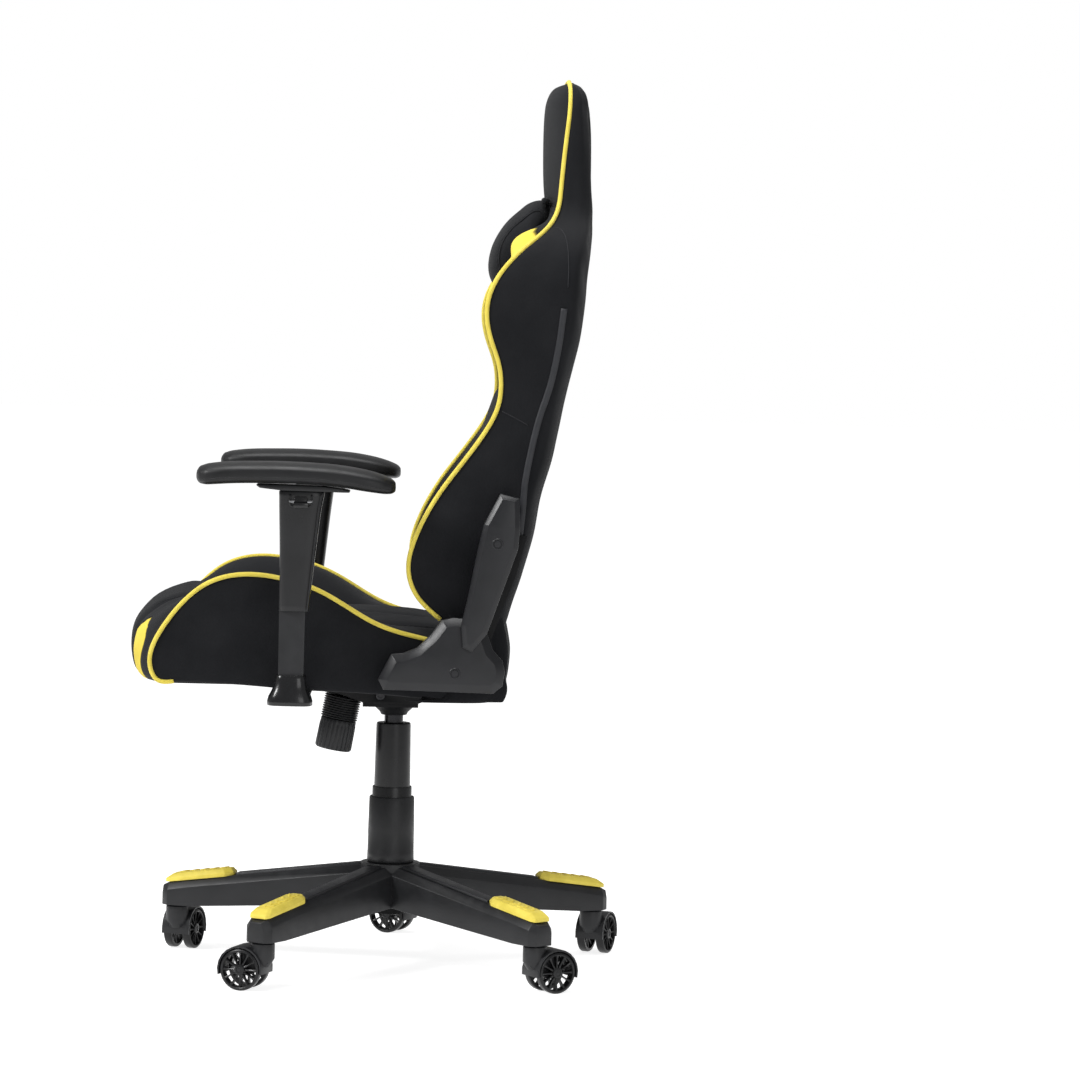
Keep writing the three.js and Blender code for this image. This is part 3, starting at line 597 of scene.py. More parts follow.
# ---- backrest
ROOT_X = 150  # the seam between the centre panel and a wing or bolster
ROOT_A = 0.6  # where that seam lies on the lattice, from the middle to the side
CHANNEL_A = 8 / 30  # and the sewn channel of the centre panel
CHANNEL_X = ROOT_X * CHANNEL_A / ROOT_A
CROSS_Z = 1128  # the seam across under the headrest
WING_TOP = 1112
BACK_FOOT, HEAD_TURN, BACK_TOP = 504, 1240, 1308  # the head's top is rounded above HEAD_TURN
FRAME_X = 137
ON_FACE = 0.999  # a lattice place beyond this lies on that face of the cube
NO_SEAM = 99
NO_PANEL = -50
back_read = reader([
    # height, outer x, piping y, centre front y, rear y
    [504, 232, 92, 84, 154], [516, 236, 83, 86, 158], [531, 238, 68, 88, 161], [556, 243, 37, 93, 167],
    [583, 247, 22, 99, 176], [605, 250, 18, 104, 182], [651, 251, 29, 115, 194], [708, 250, 58, 132, 203],
    [766, 247, 100, 146, 219], [793, 245, 119, 151, 224], [814, 244, 132, 156, 228],
    [837, 243, 142, 161, 232], [866, 243, 145, 167, 238], [896, 245, 142, 172, 245],
    [936, 249, 127, 179, 254], [966, 251, 121, 184, 258], [999, 251, 125, 189, 261],
    [1022, 250, 136, 193, 262], [1042, 245, 151, 196, 264],
    [1061, 236, 169, 198, 266], [1076, 222, 188, 200, 267], [1091, 203, 206, 202, 268],
    [1106, 180, 216, 204, 268], [1126, 161, 223, 205, 269], [1150, 152, 225, 205, 269],
    [1200, 149, 229, 204, 268], [1240, 148, 233, 203, 266], [1270, 145, 236, 203, 263],
    [1288, 139, 236, 204, 262], [1299, 130, 236, 209, 257], [1305, 119, 235, 218, 250],
    [1308, 108, 234, 232, 242],
])
ridge_read = reader([
    # height, y of the wing's crest inside the piping
    [504, 100], [516, 92], [556, 52], [605, 32], [651, 42], [708, 70], [766, 108], [814, 138], [866, 150],
    [936, 137], [976, 131], [1010, 139], [1035, 150], [1050, 154], [1068, 152], [1080, 158], [1090, 174],
    [1098, 192], [1110, 206], [1150, 206], [1308, 222],
])
flame_read = reader([
    # height, inner and outer x of the yellow flame on a wing
    [844, 197, 197], [880, 191, 206], [920, 186, 216], [960, 182, 226], [1000, 178, 236], [1030, 175, 252],
    [1045, 173, 300], [1110, 168, 300],
])


def wing_root(z):
    """The x of the seam between the centre panel and a wing; it runs in below the headrest."""
    edge = back_read(z)[..., 0] - 5
    return ROOT_X + (ROOT_A * edge - ROOT_X) * step(1080, CROSS_Z, z)


def back_front(x, z):
    """The y of the backrest's front at that x and height: a crowned centre panel between wings that rise
    to a crest and fall to the piping, and above them the headrest."""
    outer, piping, centre, _ = np.moveaxis(back_read(z), -1, 0)
    crest = ridge_read(z)[..., 0]
    reach = np.abs(x)
    edge = outer - 5
    root = np.minimum(wing_root(z), outer - 34)
    ridge_x = np.maximum(edge - 36, root + 14)
    is_wing = 1 - step(WING_TOP - 24, WING_TOP + 16, z)
    slope = centre + 2 + (crest - centre - 2) * step(root, ridge_x, reach)
    shoulder = crest + (piping - crest) * np.clip((reach - ridge_x) / (edge - ridge_x), 0, 1) ** 2
    wing = np.where(reach < ridge_x, slope, shoulder)
    head = centre + (piping - centre) * np.clip(reach / edge, 0, 1) ** 3.2
    seam = 5 * hump(reach, wing_root(z), 6) * is_wing
    channel = 4 * hump(reach, CHANNEL_X, 6) * step(560, 600, z) * (1 - step(985, 1010, z))
    across = 4 * hump(z, CROSS_Z, 6) * (reach < edge - 10)
    crown = -5 * np.cos(np.clip(reach / ROOT_X, 0, 1) * math.pi / 2)
    return wing * is_wing + head * (1 - is_wing) + seam + channel + across + crown * is_wing


def spread(a, root, edge):
    """An x for each lattice place across, with the seam always on the same column."""
    reach = np.abs(a)
    inner = root * reach / ROOT_A
    outer = root + (edge - root) * (reach - ROOT_A) / (1 - ROOT_A)
    return np.sign(a) * np.where(reach <= ROOT_A, inner, outer)


def mark(mesh, a, is_sewn, root_gap, cross_gap, on_channel, panel, is_front):
    """Stores each point's distance to the nearest seam, and how far it lies inside a yellow panel."""
    channel_gap = np.where(on_channel, np.abs(np.abs(a) - CHANNEL_A) * ROOT_X / ROOT_A, NO_SEAM)
    gap = np.minimum(np.minimum(root_gap, cross_gap), channel_gap)
    for name, values in (("seam_gap", np.where(is_sewn, gap, 20)),
                         ("panel_gap", np.where(is_front, np.clip(panel, NO_PANEL, 4), NO_PANEL))):
        layer = mesh.attributes.new(name, "FLOAT", "POINT")
        layer.data.foreach_set("value", np.asarray(values, dtype=np.float32))


def back_mesh(na, nb, nc):
    """The upholstery of the backrest, puffed between its seams, and the places of its lattice points."""
    unit, quads, index = box_lattice(na, nb, nc)
    a, b, c = unit.T
    rounding = np.sin(np.linspace(0, math.pi / 2, 13)[1:])
    rows = np.concatenate([np.linspace(BACK_FOOT, CROSS_Z, 67), np.linspace(CROSS_Z, HEAD_TURN, 13)[1:],
                           HEAD_TURN + (BACK_TOP - HEAD_TURN) * rounding])
    z = rows[np.rint((c + 1) / 2 * nc).astype(int)]
    outer, _, _, rear = back_read(z).T
    root = wing_root(z)
    x = spread(a, root, outer - 5)
    on_side, is_front = np.abs(a) > ON_FACE, b < -ON_FACE
    x += np.sign(a) * on_side * (1 - np.abs(b) ** 4) * 4
    front = back_front(x, z)
    corner = 12 * np.clip((np.abs(a) - 0.88) / 0.12, 0, 1) ** 2.4
    tubes = 2.8 * hump(np.abs(x), FRAME_X, 15)  # the frame's tubes show through the cloth
    back = rear - 1 - 2.4 * (1 - (np.abs(x) / outer) ** 2) - corner + tubes
    y = front + (back - front) * (b + 1) / 2
    z = z + np.where(c < -ON_FACE, 9 * (1 - (b + 1) / 2), 0)
    mesh = from_points(np.stack([x, y, z], 1), quads)
    reach = np.abs(x)
    root_gap = np.where(z < WING_TOP, np.abs(reach - root), NO_SEAM)
    cross_gap = np.abs(z - CROSS_Z)
    low, high = flame_read(z).T
    top = np.minimum(1080 + (213 - reach) * 0.395, 1097)
    flame = np.minimum(np.minimum(reach - low, high - reach), (top - z) * 0.93)
    mark(mesh, a, is_front & ~on_side, root_gap, cross_gap, (z > 575) & (z < 1000), flame, is_front)
    held = on_side & (np.abs(b) > ON_FACE) | is_front & ((root_gap < 1) | (cross_gap < 1))
    cap = np.where(on_side, 5.0, 9.0)
    cap = np.where((np.abs(a) > 0.9) & (z < 760), 2.5, cap)
    puff(mesh, held | (np.abs(c) > ON_FACE), np.where(b > 0.9, 4.0, cap))
    crease(mesh, is_front & (on_side | (c > ON_FACE)))
    return subdivide(mesh), index


def back_shell():
    na, nc = 60, 90
    mesh, index = back_mesh(na, 12, nc)
    shell = add_object("back_upholstery", mesh, "back", panelled, "fabric",
                       "back_panel", "back_wing_left", "back_wing_right")
    tree = tree_of(mesh)
    first = 3  # the piping starts a few rows above the foot
    edge = ([(na, 0, k) for k in range(first, nc + 1)] + [(i, 0, nc) for i in range(na - 1, 0, -1)]
            + [(0, 0, k) for k in range(nc, first - 1, -1)])
    cord("back_piping", mesh, index, edge, "back")
    for side, sign in SIDES:
        def on_front(edge_x, low, high):
            return [(sign * edge_x(z), back_front(sign * edge_x(z), z), z) for z in range(low, high, 8)]
        seam_stitches(f"back_seam_stitches_{side}", ("inner", "outer"),
                      lambda offset: on_front(lambda z: wing_root(z) + offset, 560, 1100), tree, "back")
        for label, column, shift, top in (("inner", 0, -3.5, 1096), ("outer", 1, 3.5, 1026)):
            line = on_front(lambda z: flame_read(z)[column] + shift, 872, top)
            stitches(f"back_flame_stitches_{side}_{label}", line, tree, "back")
    seam_stitches("headrest_stitches", ("low", "high"),
                  lambda offset: [(x, 205, CROSS_Z + offset) for x in range(-138, 139, 6)], tree, "back")
    return tree


def back_trim(tree):
    """A strip of trim and two seams on each side of the backrest, from their outlines in (y, z)."""
    strip = [(231, 979), (225, 925), (215, 871), (200, 823), (190, 779), (182, 731), (180, 693), (176, 650)]
    seams = (("side", [(144, 832), (157, 826), (171, 819), (184, 812)]),
             ("shoulder", [(213, 1098), (222, 1096), (230, 1086), (234, 1068), (236, 1040), (236, 1010)]))
    for side, sign in SIDES:
        def on_side(line, lift):
            dense = smooth_path([(0, y, z) for y, z in line], 7)
            placed = [(sign * (back_read(z)[0] + 4), y, z) for _, y, z in dense]
            return smooth_path(drape(placed, tree, lift), 5)
        mesh = tube_mesh(on_side(strip, 0.8), 4.7, 12, 0.4, (sign, 0, 0))
        add_object(f"back_trim_strip_{side}", mesh, "back", trim_strip, "nylon")
        for name, line in seams:
            mesh = tube_mesh(on_side(line, 0.1), 0.8, 6)
            add_object(f"back_{name}_seam_{side}", mesh, "back", thread, "fabric")


def rear_skirt():
    """The cloth that closes the gap between the backrest's foot and the seat, round three sides."""
    line = smooth_path([(0, 152, 552), (0, 158, 532), (0, 164, 508), (0, 167, 488), (0, 166, 466),
                        (0, 163, 444), (0, 157, 425), (0, 144, 415), (0, 122, 412), (0, 96, 415)], 6)
    turning = 0.78  # where the cloth starts to turn the corner, from the middle to its end
    columns = np.linspace(-1, 1, 65)
    points, faces = [], []
    for _, y, z in line:
        for u in columns:
            flat = min(abs(u) / turning, 1)
            corner = np.clip((abs(u) - turning) / (1 - turning), 0, 1)
            x = math.copysign(228 * flat + 10 * math.sin(corner * math.pi / 2), u)
            fold = 0.9 * math.cos(x / 17 + z / 40) * step(415, 460, z) * (1 - corner)
            points.append((x, y - 76 * corner ** 1.5 - fold - 3 * flat ** 6, z))
    wide = len(columns)
    for r in range(len(line) - 1):
        for i in range(wide - 1):
            a, b = r * wide + i, (r + 1) * wide + i
            faces.append((a, a + 1, b + 1, b))
    mesh = edited(from_points(points, faces),
                  lambda bm: bmesh.ops.solidify(bm, geom=bm.faces, thickness=3 * MM), outward)
    skirt = place_object("rear_skirt", mesh, fabric)
    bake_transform(skirt)


# ---- pillows
def pillow(name, outline, half_width, node, puffed, band):
    """A stuffed pillow: its side outline in (y, z), swept across and rounded at both ends. Its welts
    run round at the share `band` of its half width."""
    ring = smooth_path([(0, y, z) for y, z in outline + outline[:1]], 9)[:-1, 1:]
    middle = ring.mean(0)

    def section(x, squeeze):
        return [(x, *(middle + (p - middle) * squeeze)) for p in ring]
    rings = [section(half_width * u, max(0.3, (1 - abs(u) ** 6) ** 0.5))
             for u in np.sin(np.linspace(-1, 1, 41) * math.pi / 2)]
    mesh = edited(loft_mesh(rings), split_ngons)
    x = np.abs(to_mm(mesh)[:, 0])
    puff(mesh, x > half_width * 0.995, np.full(len(x), puffed), 5.0)
    mesh = subdivide(mesh)
    add_object(name, mesh, "back", fabric, "fabric", node)
    tree = tree_of(mesh)
    squeeze = (1 - band ** 6) ** 0.5
    for side, sign in SIDES:
        loop = section(sign * half_width * band, squeeze)
        path = smooth_path(eased(drape(loop + loop[:1], tree, 0.3)), 5)
        add_object(f"{name}_welt_{side}", tube_mesh(path, 1.5, 8), "back", fabric, "fabric")
        near = section(sign * (half_width * band - 6), squeeze)
        stitches(f"{name}_stitches_{side}", near + near[:1], tree, "back", 0.5)


def pillows():
    neck = [(213, 1112), (213, 1130), (204, 1139), (193, 1139), (182, 1132), (170, 1121), (153, 1107),
            (140, 1091), (129, 1072), (124, 1048), (125, 1030), (132, 1014), (150, 1003), (176, 1000),
            (196, 1008), (204, 1040), (206, 1085)]
    pillow("neck_cushion", neck, 132, "neck_pillow", 4.0, 0.88)
    lip = [(x, 204 + 1.5 * math.sin(x / 19), 1136 + 1.2 * math.sin(x / 11)) for x in range(-112, 113, 7)]
    lip = tube_mesh(smooth_path(lip, 5), 5.2, 12, 0.8, (0, 0, 1))
    add_object("neck_cushion_lip", lip, "back", fabric, "fabric")
    lumbar = [(160, 862), (147, 864), (137, 835), (123, 795), (102, 745), (91, 702), (89, 674), (99, 661),
              (112, 666), (125, 696), (140, 762), (153, 825)]
    pillow("lumbar_cushion", lumbar, 138, "lumbar_pillow", 5.0, 0.9)


# ---- seat
SEAT_CROSS_Y = -262
SEAT_FRONT, SEAT_REAR = -312, 164
SEAT_LOW = 431
SEAT_SIDE = 236
seat_top = reader([
    # y, centre height, piping height, outer x
    [-388, 540, 470, 236], [-372, 545, 470, 238], [-350, 548, 478, 240], [-330, 553, 512, 242],
    [-300, 554, 549, 245], [-280, 551, 567, 247], [-257, 545, 580, 248], [-226, 537, 588, 249],
    [-195, 530, 589, 250], [-160, 523, 584, 250], [-117, 520, 572, 250], [-90, 520, 559, 250],
    [-60, 520, 541, 250], [-30, 520, 524, 249], [0, 519, 513, 248], [42, 518, 503, 246], [62, 516, 498, 245],
    [78, 510, 492, 244], [92, 482, 474, 243], [102, 462, 460, 242], [165, 452, 452, 240],
])
seat_nose = reader([
    # height, y of the front in the middle, y of the front at the piping
    [428, -350, -330], [431, -364, -336], [436, -373, -340], [443, -378, -344], [458, -382.5, -347],
    [471, -384.5, -348], [487, -385, -342], [506, -383, -333], [518, -378, -324], [529, -368, -317],
    [540, -356, -309], [546, -348, -303], [551, -334, -298], [555, -321, -294], [562, -305, -286],
    [575, -290, -268], [590, -280, -195],
])
seat_drop = reader([
    # y, how far the cloth hangs below the seat's front edge
    [-388, 0], [-178, 0], [-113, 5], [-23, 8], [60, 14], [90, 17], [165, 17],
])
leaf_read = reader([
    # height, outer and inner x of the yellow leaf on the seat's front
    [428, 203, 150], [442, 203, 150], [456, 206, 150], [470, 211, 150], [483, 213, 150], [490, 212, 153],
    [496, 210, 157], [508, 202, 168], [516, 193, 177], [522, 185, 184],
])


def seat_height(x, y):
    """The seat's top: a flat centre with sewn channels, and bolsters that rise to the piping."""
    centre, piping, outer = np.moveaxis(seat_top(y), -1, 0)
    reach = np.abs(x)
    edge = outer - 8
    share = np.clip((reach - ROOT_X) / (edge - ROOT_X), 0, 1)
    front = step(-330, -280, y)
    rise = (1 - (1 - share) ** 2.1) * front + step(0, 1, share) * (1 - front)
    seam = -6 * hump(reach, ROOT_X, 7) * (1 - step(60, 80, y))
    crown = 6 * np.cos(np.clip(reach / ROOT_X, 0, 1) * math.pi / 2) * (1 - step(60, 90, y))
    channel = -4 * hump(reach, CHANNEL_X, 6)
    channel = channel * step(SEAT_CROSS_Y, SEAT_CROSS_Y + 12, y) * (1 - step(30, 60, y))
    across = -4 * hump(y, SEAT_CROSS_Y, 7) * (reach < ROOT_X)
    return centre + (piping - centre) * rise + seam + crown + channel + across


def seat_mesh(na, nb, nc):
    """The upholstery of the seat, puffed between its seams, and the places of its lattice points."""
    unit, quads, index = box_lattice(na, nb, nc)
    a, b, c = unit.T
    deep, share = (b + 1) / 2, (c + 1) / 2
    split_share = 12 / nb  # the cells in front of the cross seam
    y_top = SEAT_FRONT + (SEAT_REAR - SEAT_FRONT) * deep
    for _ in range(3):  # the width depends on y and the split on the width, so they settle in turns
        x = spread(a, ROOT_X, seat_top(y_top)[:, 2] - 8)
        reach = np.abs(x)
        sideways = np.clip(reach / SEAT_SIDE, 0, 1) ** 4.3
        corner_y = SEAT_FRONT + 28 * sideways
        split = SEAT_CROSS_Y + 62 * step(ROOT_X, SEAT_SIDE, reach)
        y_top = np.where(deep < split_share, corner_y + (split - corner_y) * deep / split_share,
                         split + (SEAT_REAR - split) * (deep - split_share) / (1 - split_share))
    low = SEAT_LOW - seat_drop(y_top)[:, 0] * step(112, 140, reach)
    z = low + (seat_height(x, y_top) - low) * share
    corner_z = seat_height(x, corner_y)

    def nose_at(height):
        middle, side = seat_nose(height).T
        return middle + (side - middle) * sideways
    nose = nose_at(low + (corner_z - low) * share)
    nose = nose + (corner_y - nose_at(corner_z)) * share ** 4 + 5 * hump(reach, ROOT_X, 7)
    y = nose + (SEAT_REAR - nose) * (y_top - corner_y) / (SEAT_REAR - corner_y)
    on_side, is_top, is_front = np.abs(a) > ON_FACE, c > ON_FACE, b < -ON_FACE
    x = x + np.sign(a) * 7 * np.sin(math.pi * share) * on_side * (1 - step(40, 120, y))
    y = y - np.where(b > ON_FACE, 6 * (2 * share - 1) ** 2, 0)
    mesh = from_points(np.stack([x, y, z], 1), quads)
    reach = np.abs(x)
    root_gap = np.abs(reach - ROOT_X)
    cross_gap = np.where((reach < ROOT_X + 1) & is_top, np.abs(y - SEAT_CROSS_Y), NO_SEAM)
    leaf_outer, leaf_inner = leaf_read(z).T
    leaf = np.minimum(np.minimum(reach - leaf_inner, leaf_outer - reach), 522 - z)
    is_seen = is_top | is_front
    on_channel = is_top & (y > SEAT_CROSS_Y - 1) & (y < 45)
    mark(mesh, a, is_seen & ~on_side, root_gap, cross_gap, on_channel, leaf, is_front)
    held = is_seen & (on_side | (root_gap < 1)) | (c < -ON_FACE) | (y > 60)
    puff(mesh, held | is_top & (cross_gap < 1), np.where(on_side, 4.0, 6.5))
    crease(mesh, on_side & is_seen)
    return subdivide(mesh), index


def seat_shell():
    na, nb, nc = 60, 54, 14
    mesh, index = seat_mesh(na, nb, nc)
    shell = add_object("seat_upholstery", mesh, "seat", panelled, "fabric",
                       "seat_cushion", "seat_bolster_left", "seat_bolster_right")
    tree = tree_of(mesh)
    co = to_mm(mesh)
    last = next(j for j in range(nb + 1) if co[index[(na, j, nc)]][1] > 66)
    for side, sign in SIDES:
        i = na if sign > 0 else 0
        edge = [(i, 0, k) for k in range(nc)] + [(i, j, nc) for j in range(last)]
        cord(f"seat_piping_{side}", mesh, index, edge, "seat", ((0, 26, 0.5), (0, 16, -2.5), (0, 7, -3)))

        def beside_seam(offset):
            x = ROOT_X + offset
            return [(sign * x, y, seat_height(x, y)) for y in range(-350, 60, 12)]
        seam_stitches(f"seat_seam_stitches_{side}", ("inner", "outer"), beside_seam, tree, "seat")
    seam_stitches("seat_cross_stitches", ("front", "rear"),
                  lambda offset: [(x, SEAT_CROSS_Y + offset, 545) for x in range(-142, 143, 6)], tree, "seat")


# ---- column and mechanism
def standing(name, profile, mat, node, slot="nylon", segments=72):
    mesh = turned_mesh(profile, segments)
    sharpen(add_object(name, mesh, nodes[node]["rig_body"], mat, slot, node), 40)


def column():
    standing("lower_cover", [(31, 152.6), (34.2, 152.6), (35, 154), (34.6, 168), (34.4, 168.4), (34.3, 200),
                             (33.4, 248.6), (32.4, 250), (31, 250)], base_plastic, "cover_lower")
    standing("middle_cover", [(28, 200), (29.6, 200), (29.3, 263.8), (28.8, 265), (28, 265)],
             satin_plastic, "cover_middle")
    standing("upper_cover", [(26.4, 230), (27.3, 230), (26.9, 262), (25.6, 356), (25.2, 359), (24, 360),
                             (14.6, 360), (14.6, 358), (24.4, 357.6), (24.5, 300)],
             satin_plastic, "cover_upper")
    standing("gas_rod", [(0, 180), (14, 180), (14, 372), (13, 394), (0, 394)], black_rod, "gas_cylinder",
             "bright", 48)
    for node, mat in (("gas_outer_tube", painted_steel), ("thrust_bearing", zinc), ("piston_rod", zinc),
                      ("valve_pin", zinc), ("tension_spring", zinc)):
        nodes[node].data.materials.clear()
        nodes[node].data.materials.append(mat)


def bolt(name, place, radius, height, body, mat):
    """A socket-head bolt: a round head with a recess, standing on local z."""
    head = [(0, 0), (radius, 0), (radius, height * 0.75), (radius * 0.86, height), (radius * 0.55, height),
            (radius * 0.5, height * 0.4), (0, height * 0.4)]
    sharpen(add_object(name, turned_mesh(head, 30, place), body, mat, "bright"))


def facing_out(x, y, z, sign):
    """Puts local z along x on one side of the chair."""
    return Matrix.Translation((sign * x, y, z)) @ Matrix.Rotation(sign * math.pi / 2, 4, "Y")


def mechanism():
    refined("tilt_bracket", "mechanism_housing", painted_steel, 0.8, 2, "steel")
    refined("seat_plate", "mechanism_plate", painted_steel, 0.6, 2, "steel")
    refined("seat_frame", "seat_tubes", painted_steel, 1.4, 2, "steel")
    refined("back_frame", "back_tubes", painted_steel, 0.8, 2, "steel", 35)
    refined("lift_lever", "height_lever", satin_plastic, 1.0, 2, "nylon")
    refined("recline_lever", "recline_handle", satin_plastic, 1.6, 3, "nylon")
    down = Matrix.Rotation(math.pi, 4, "X")
    for i, (x, y) in enumerate(((84, -84), (-84, -84), (84, 80), (-84, 80))):
        bolt(f"plate_bolt_{i + 1}", Matrix.Translation((x, y, 420)) @ down, 6.5, 5, "seat", zinc)
    for side, sign in SIDES:
        bolt(f"bracket_screw_{side}", facing_out(46, 19, 400, sign), 4.5, 2.5, "lift", black_rod)
        bolt(f"trunnion_cap_{side}", facing_out(52, -20, 404, sign), 6.5, 3, "lift", black_rod)


def knob():
    """The tension knob, fluted, on its bolt, under a ribbed bellows between two cheeks of the seat plate."""
    joint = joints["tension_turn"]
    foot = Vector(joint["pos_m"]) / MM - Vector((0, COLUMN_Y, 0))
    lean = Vector((0, 0, 1)).rotation_difference(Vector(joint["axis"])).to_matrix().to_4x4()
    place = Matrix.Translation(foot) @ lean
    radius, flutes, folds, low, high = 27.4, 24, 10, 42.6, 77
    rings = []
    for z, scale in ((-3.5, 0.9), (-2, 0.97), (0, 1.0), (33, 0.985), (36, 0.965), (41, 0.955), (42, 0.93),
                     (42, 0.78), (16, 0.76)):
        depth = 1.4 if -3 < z < 37 and scale > 0.9 else 0
        ring = []
        for k, (c, s) in enumerate(circle(flutes * 6)):
            r = radius * scale - depth * (0.5 + 0.5 * math.cos(2 * math.pi * k / 6)) ** 2
            ring.append(place @ Vector((r * c, r * s, z)))
        rings.append(ring)
    sharpen(add_object("tension_grip", loft_mesh(rings), "knob", base_plastic, "nylon", "tension_knob"), 50)
    rod = turned_mesh([(0, 10), (4, 10), (4, 96), (3, 100), (0, 100)], 24, place)
    add_object("tension_bolt", rod, "knob", zinc, "bright")
    profile = [(26.2 - 1.5 * math.cos(2 * math.pi * folds * share), low + (high - low) * share)
               for share in np.linspace(0, 1, folds * 6 + 1)]
    bellows = turned_mesh(profile + [(22, high), (22, low)], 56, place)
    skin = add_object("tension_bellows", bellows, None, satin_plastic, "nylon", "knob_bellows")
    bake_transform(skin)
    guard = [(-104, 419.5), (-103, 405), (-52, 396.5), (-52, 419.5)]
    cheeks = joined([bevel_mesh(plate(guard, sign, 20, 22), 0.4, 1) for _, sign in SIDES])
    sharpen(add_object("tension_guard", cheeks, "seat", painted_steel, "steel"))


# ---- covers beside the hinge
LOWER_COVER = [(-13, 432), (143, 430), (156, 441), (159, 461), (155, 477), (141, 492), (133, 514), (120, 534),
               (84, 537), (68, 533), (52, 511), (33, 493), (14, 485), (-3, 483), (-21, 447)]
UPPER_REAR = [(146, 715), (173, 709), (175, 665), (173, 637), (150, 569)]
UPPER_FRONT = [(105, 574), (116, 635), (124, 672)]
UPPER_COVER = UPPER_REAR + [(139, 537), (132, 516), (111, 490), (98, 496), (95, 528)] + UPPER_FRONT
UPPER_SKIRT = UPPER_REAR + [(144, 552), (101, 552)] + UPPER_FRONT
SCREW_CAP = [(0, -2), (8.2, -2), (8.2, -0.2), (7.4, 0.5), (6.4, 0.5), (6.0, -0.3), (5.4, -0.3), (4.8, 0.6),
             (0, 0.8)]


def plate(points, sign, low, high, bevel=0.0, deep=0.0, fold_z=None):
    """A plate from x = low to high, its face sunk by `deep` at the rim, over a slope `bevel` wide, and
    bent back above fold_z."""
    def raised(bm):
        face = bm.faces[:][0]
        if face.normal.x * sign < 0:
            face.normal_flip()
        lifted = bmesh.ops.extrude_face_region(bm, geom=[face])["geom"]
        for v in (g for g in lifted if isinstance(g, bmesh.types.BMVert)):
            v.co.x = sign * (high - deep) * MM
        outward(bm)
        top = [f for f in bm.faces if f.normal.x * sign > 0.99]
        if bevel:
            bmesh.ops.inset_region(bm, faces=top, thickness=bevel * MM, depth=deep * MM, use_even_offset=True)
        if fold_z:
            bmesh.ops.bisect_plane(bm, geom=bm.verts[:] + bm.edges[:] + bm.faces[:],
                                   plane_co=(0, 0, fold_z * MM), plane_no=(0, 0, 1))
            for v in bm.verts:
                v.co.x -= sign * max(v.co.z - fold_z * MM, 0) * 0.12 * (abs(v.co.x) > (high - deep - 1) * MM)
    flat = from_points([(sign * low, y, z) for y, z in points], [tuple(range(len(points)))])
    return edited(flat, raised)


def recliner_covers():
    for side, sign in SIDES:
        lower = bevel_mesh(plate(LOWER_COVER, sign, 262, 279, 12, 8.5), 0.7, 2, 16)
        upper = joined([bevel_mesh(plate(UPPER_COVER, sign, 280, 293, 7, 5, 671), 0.6, 2, 8),
                        bevel_mesh(plate(UPPER_SKIRT, sign, 257.5, 281), 0.5, 2)])
        for name, mesh, node, x, y, z in (("recliner", lower, f"hinge_cover_{side}", 279.2, 88, 458),
                                          ("back_bracket", upper, f"bracket_cover_{side}", 293.2, 144, 644)):
            body = nodes[node]["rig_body"]
            sharpen(add_object(f"{name}_cover_{side}", mesh, body, cover_plastic, "nylon", node), 24)
            cap = turned_mesh(SCREW_CAP, 40, facing_out(x, y, z, sign))
            sharpen(add_object(f"{name}_screw_cap_{side}", cap, body, cover_plastic, "nylon"))


# ---- armrests
ARM_X = 310
pad_read = reader([
    # y, underside, top, half width
    [-282, 728, 737, 14], [-279, 723, 743, 27], [-272, 720, 747, 36], [-257, 720, 750.5, 42],
    [-238, 721.5, 752.5, 45], [-200, 723, 754, 46], [-152, 723.4, 754.5, 46], [-110, 722.4, 753, 46],
    [-80, 720, 751, 45.5], [-52, 716, 747, 44.5], [-28, 713, 741.5, 41], [-14, 712, 736.5, 35],
    [-6, 713, 732.5, 27], [-1.5, 716, 728, 15],
])


PAD_FRONT, PAD_REAR = -282, -1.5
WIDEST, SQUARE, ARCH = 0.42, 0.62, 0.16  # share of the height, corner power, fall of the top's edges


def powered(value, power):
    return math.copysign(abs(value) ** power, value)


def rounded_rings(x, power, stations):
    """Level rings between an ellipse (power 2) and a rectangle (high powers), a station each."""
    # a station is height, y, half width and half depth
    return [[(x + half_x * powered(c, 2 / power), y + half_y * powered(s, 2 / power), z)
             for c, s in circle(64, 0.5)] for z, y, half_x, half_y in stations]


def arm_pad(side, sign):
    rings = []
    body = f"armrest_{side}"
    for y in np.concatenate([np.linspace(PAD_FRONT, -262, 9), np.linspace(-250, -30, 24),
                             np.linspace(-22, PAD_REAR, 9)]):
        low, high, half = pad_read(y)
        middle = low + (high - low) * WIDEST
        ring = []
        for c, s in circle(44):
            u, w = powered(c, SQUARE), powered(s, SQUARE)
            height = (high - middle) * (1 - ARCH * u * u) if w > 0 else middle - low
            ring.append((sign * (ARM_X + half * u), y, middle + height * w))
        rings.append(ring)
    pad = add_object(f"arm_cushion_{side}", subdivide(loft_mesh(rings)), body, arm_skin, "arm_skin",
                     f"arm_pad_{side}")
    line = []
    for y in np.linspace(-270, -10, 30):
        low, high, half = pad_read(y)
        line.append((sign * (ARM_X + half * 0.985 + 0.1), y, low + (high - low) * 0.30))
    line = tube_mesh(smooth_path(line, 6), 0.5, 6)
    add_object(f"arm_cushion_part_line_{side}", line, body, satin_plastic, "nylon")


def lofted(name, rings, bevel, body, mat, slot, *replaced):
    """A bevelled piece lofted over corner points."""
    sharpen(add_object(name, bevel_mesh(loft_mesh(rings), bevel, 2), body, mat, slot, *replaced))


def hollow(name, rings, body, mat, slot, node):
    """An open-ended piece, its rings going up outside and back down inside."""
    sharpen(add_object(name, loft_mesh(rings, closing=True), body, mat, slot, node), 50)


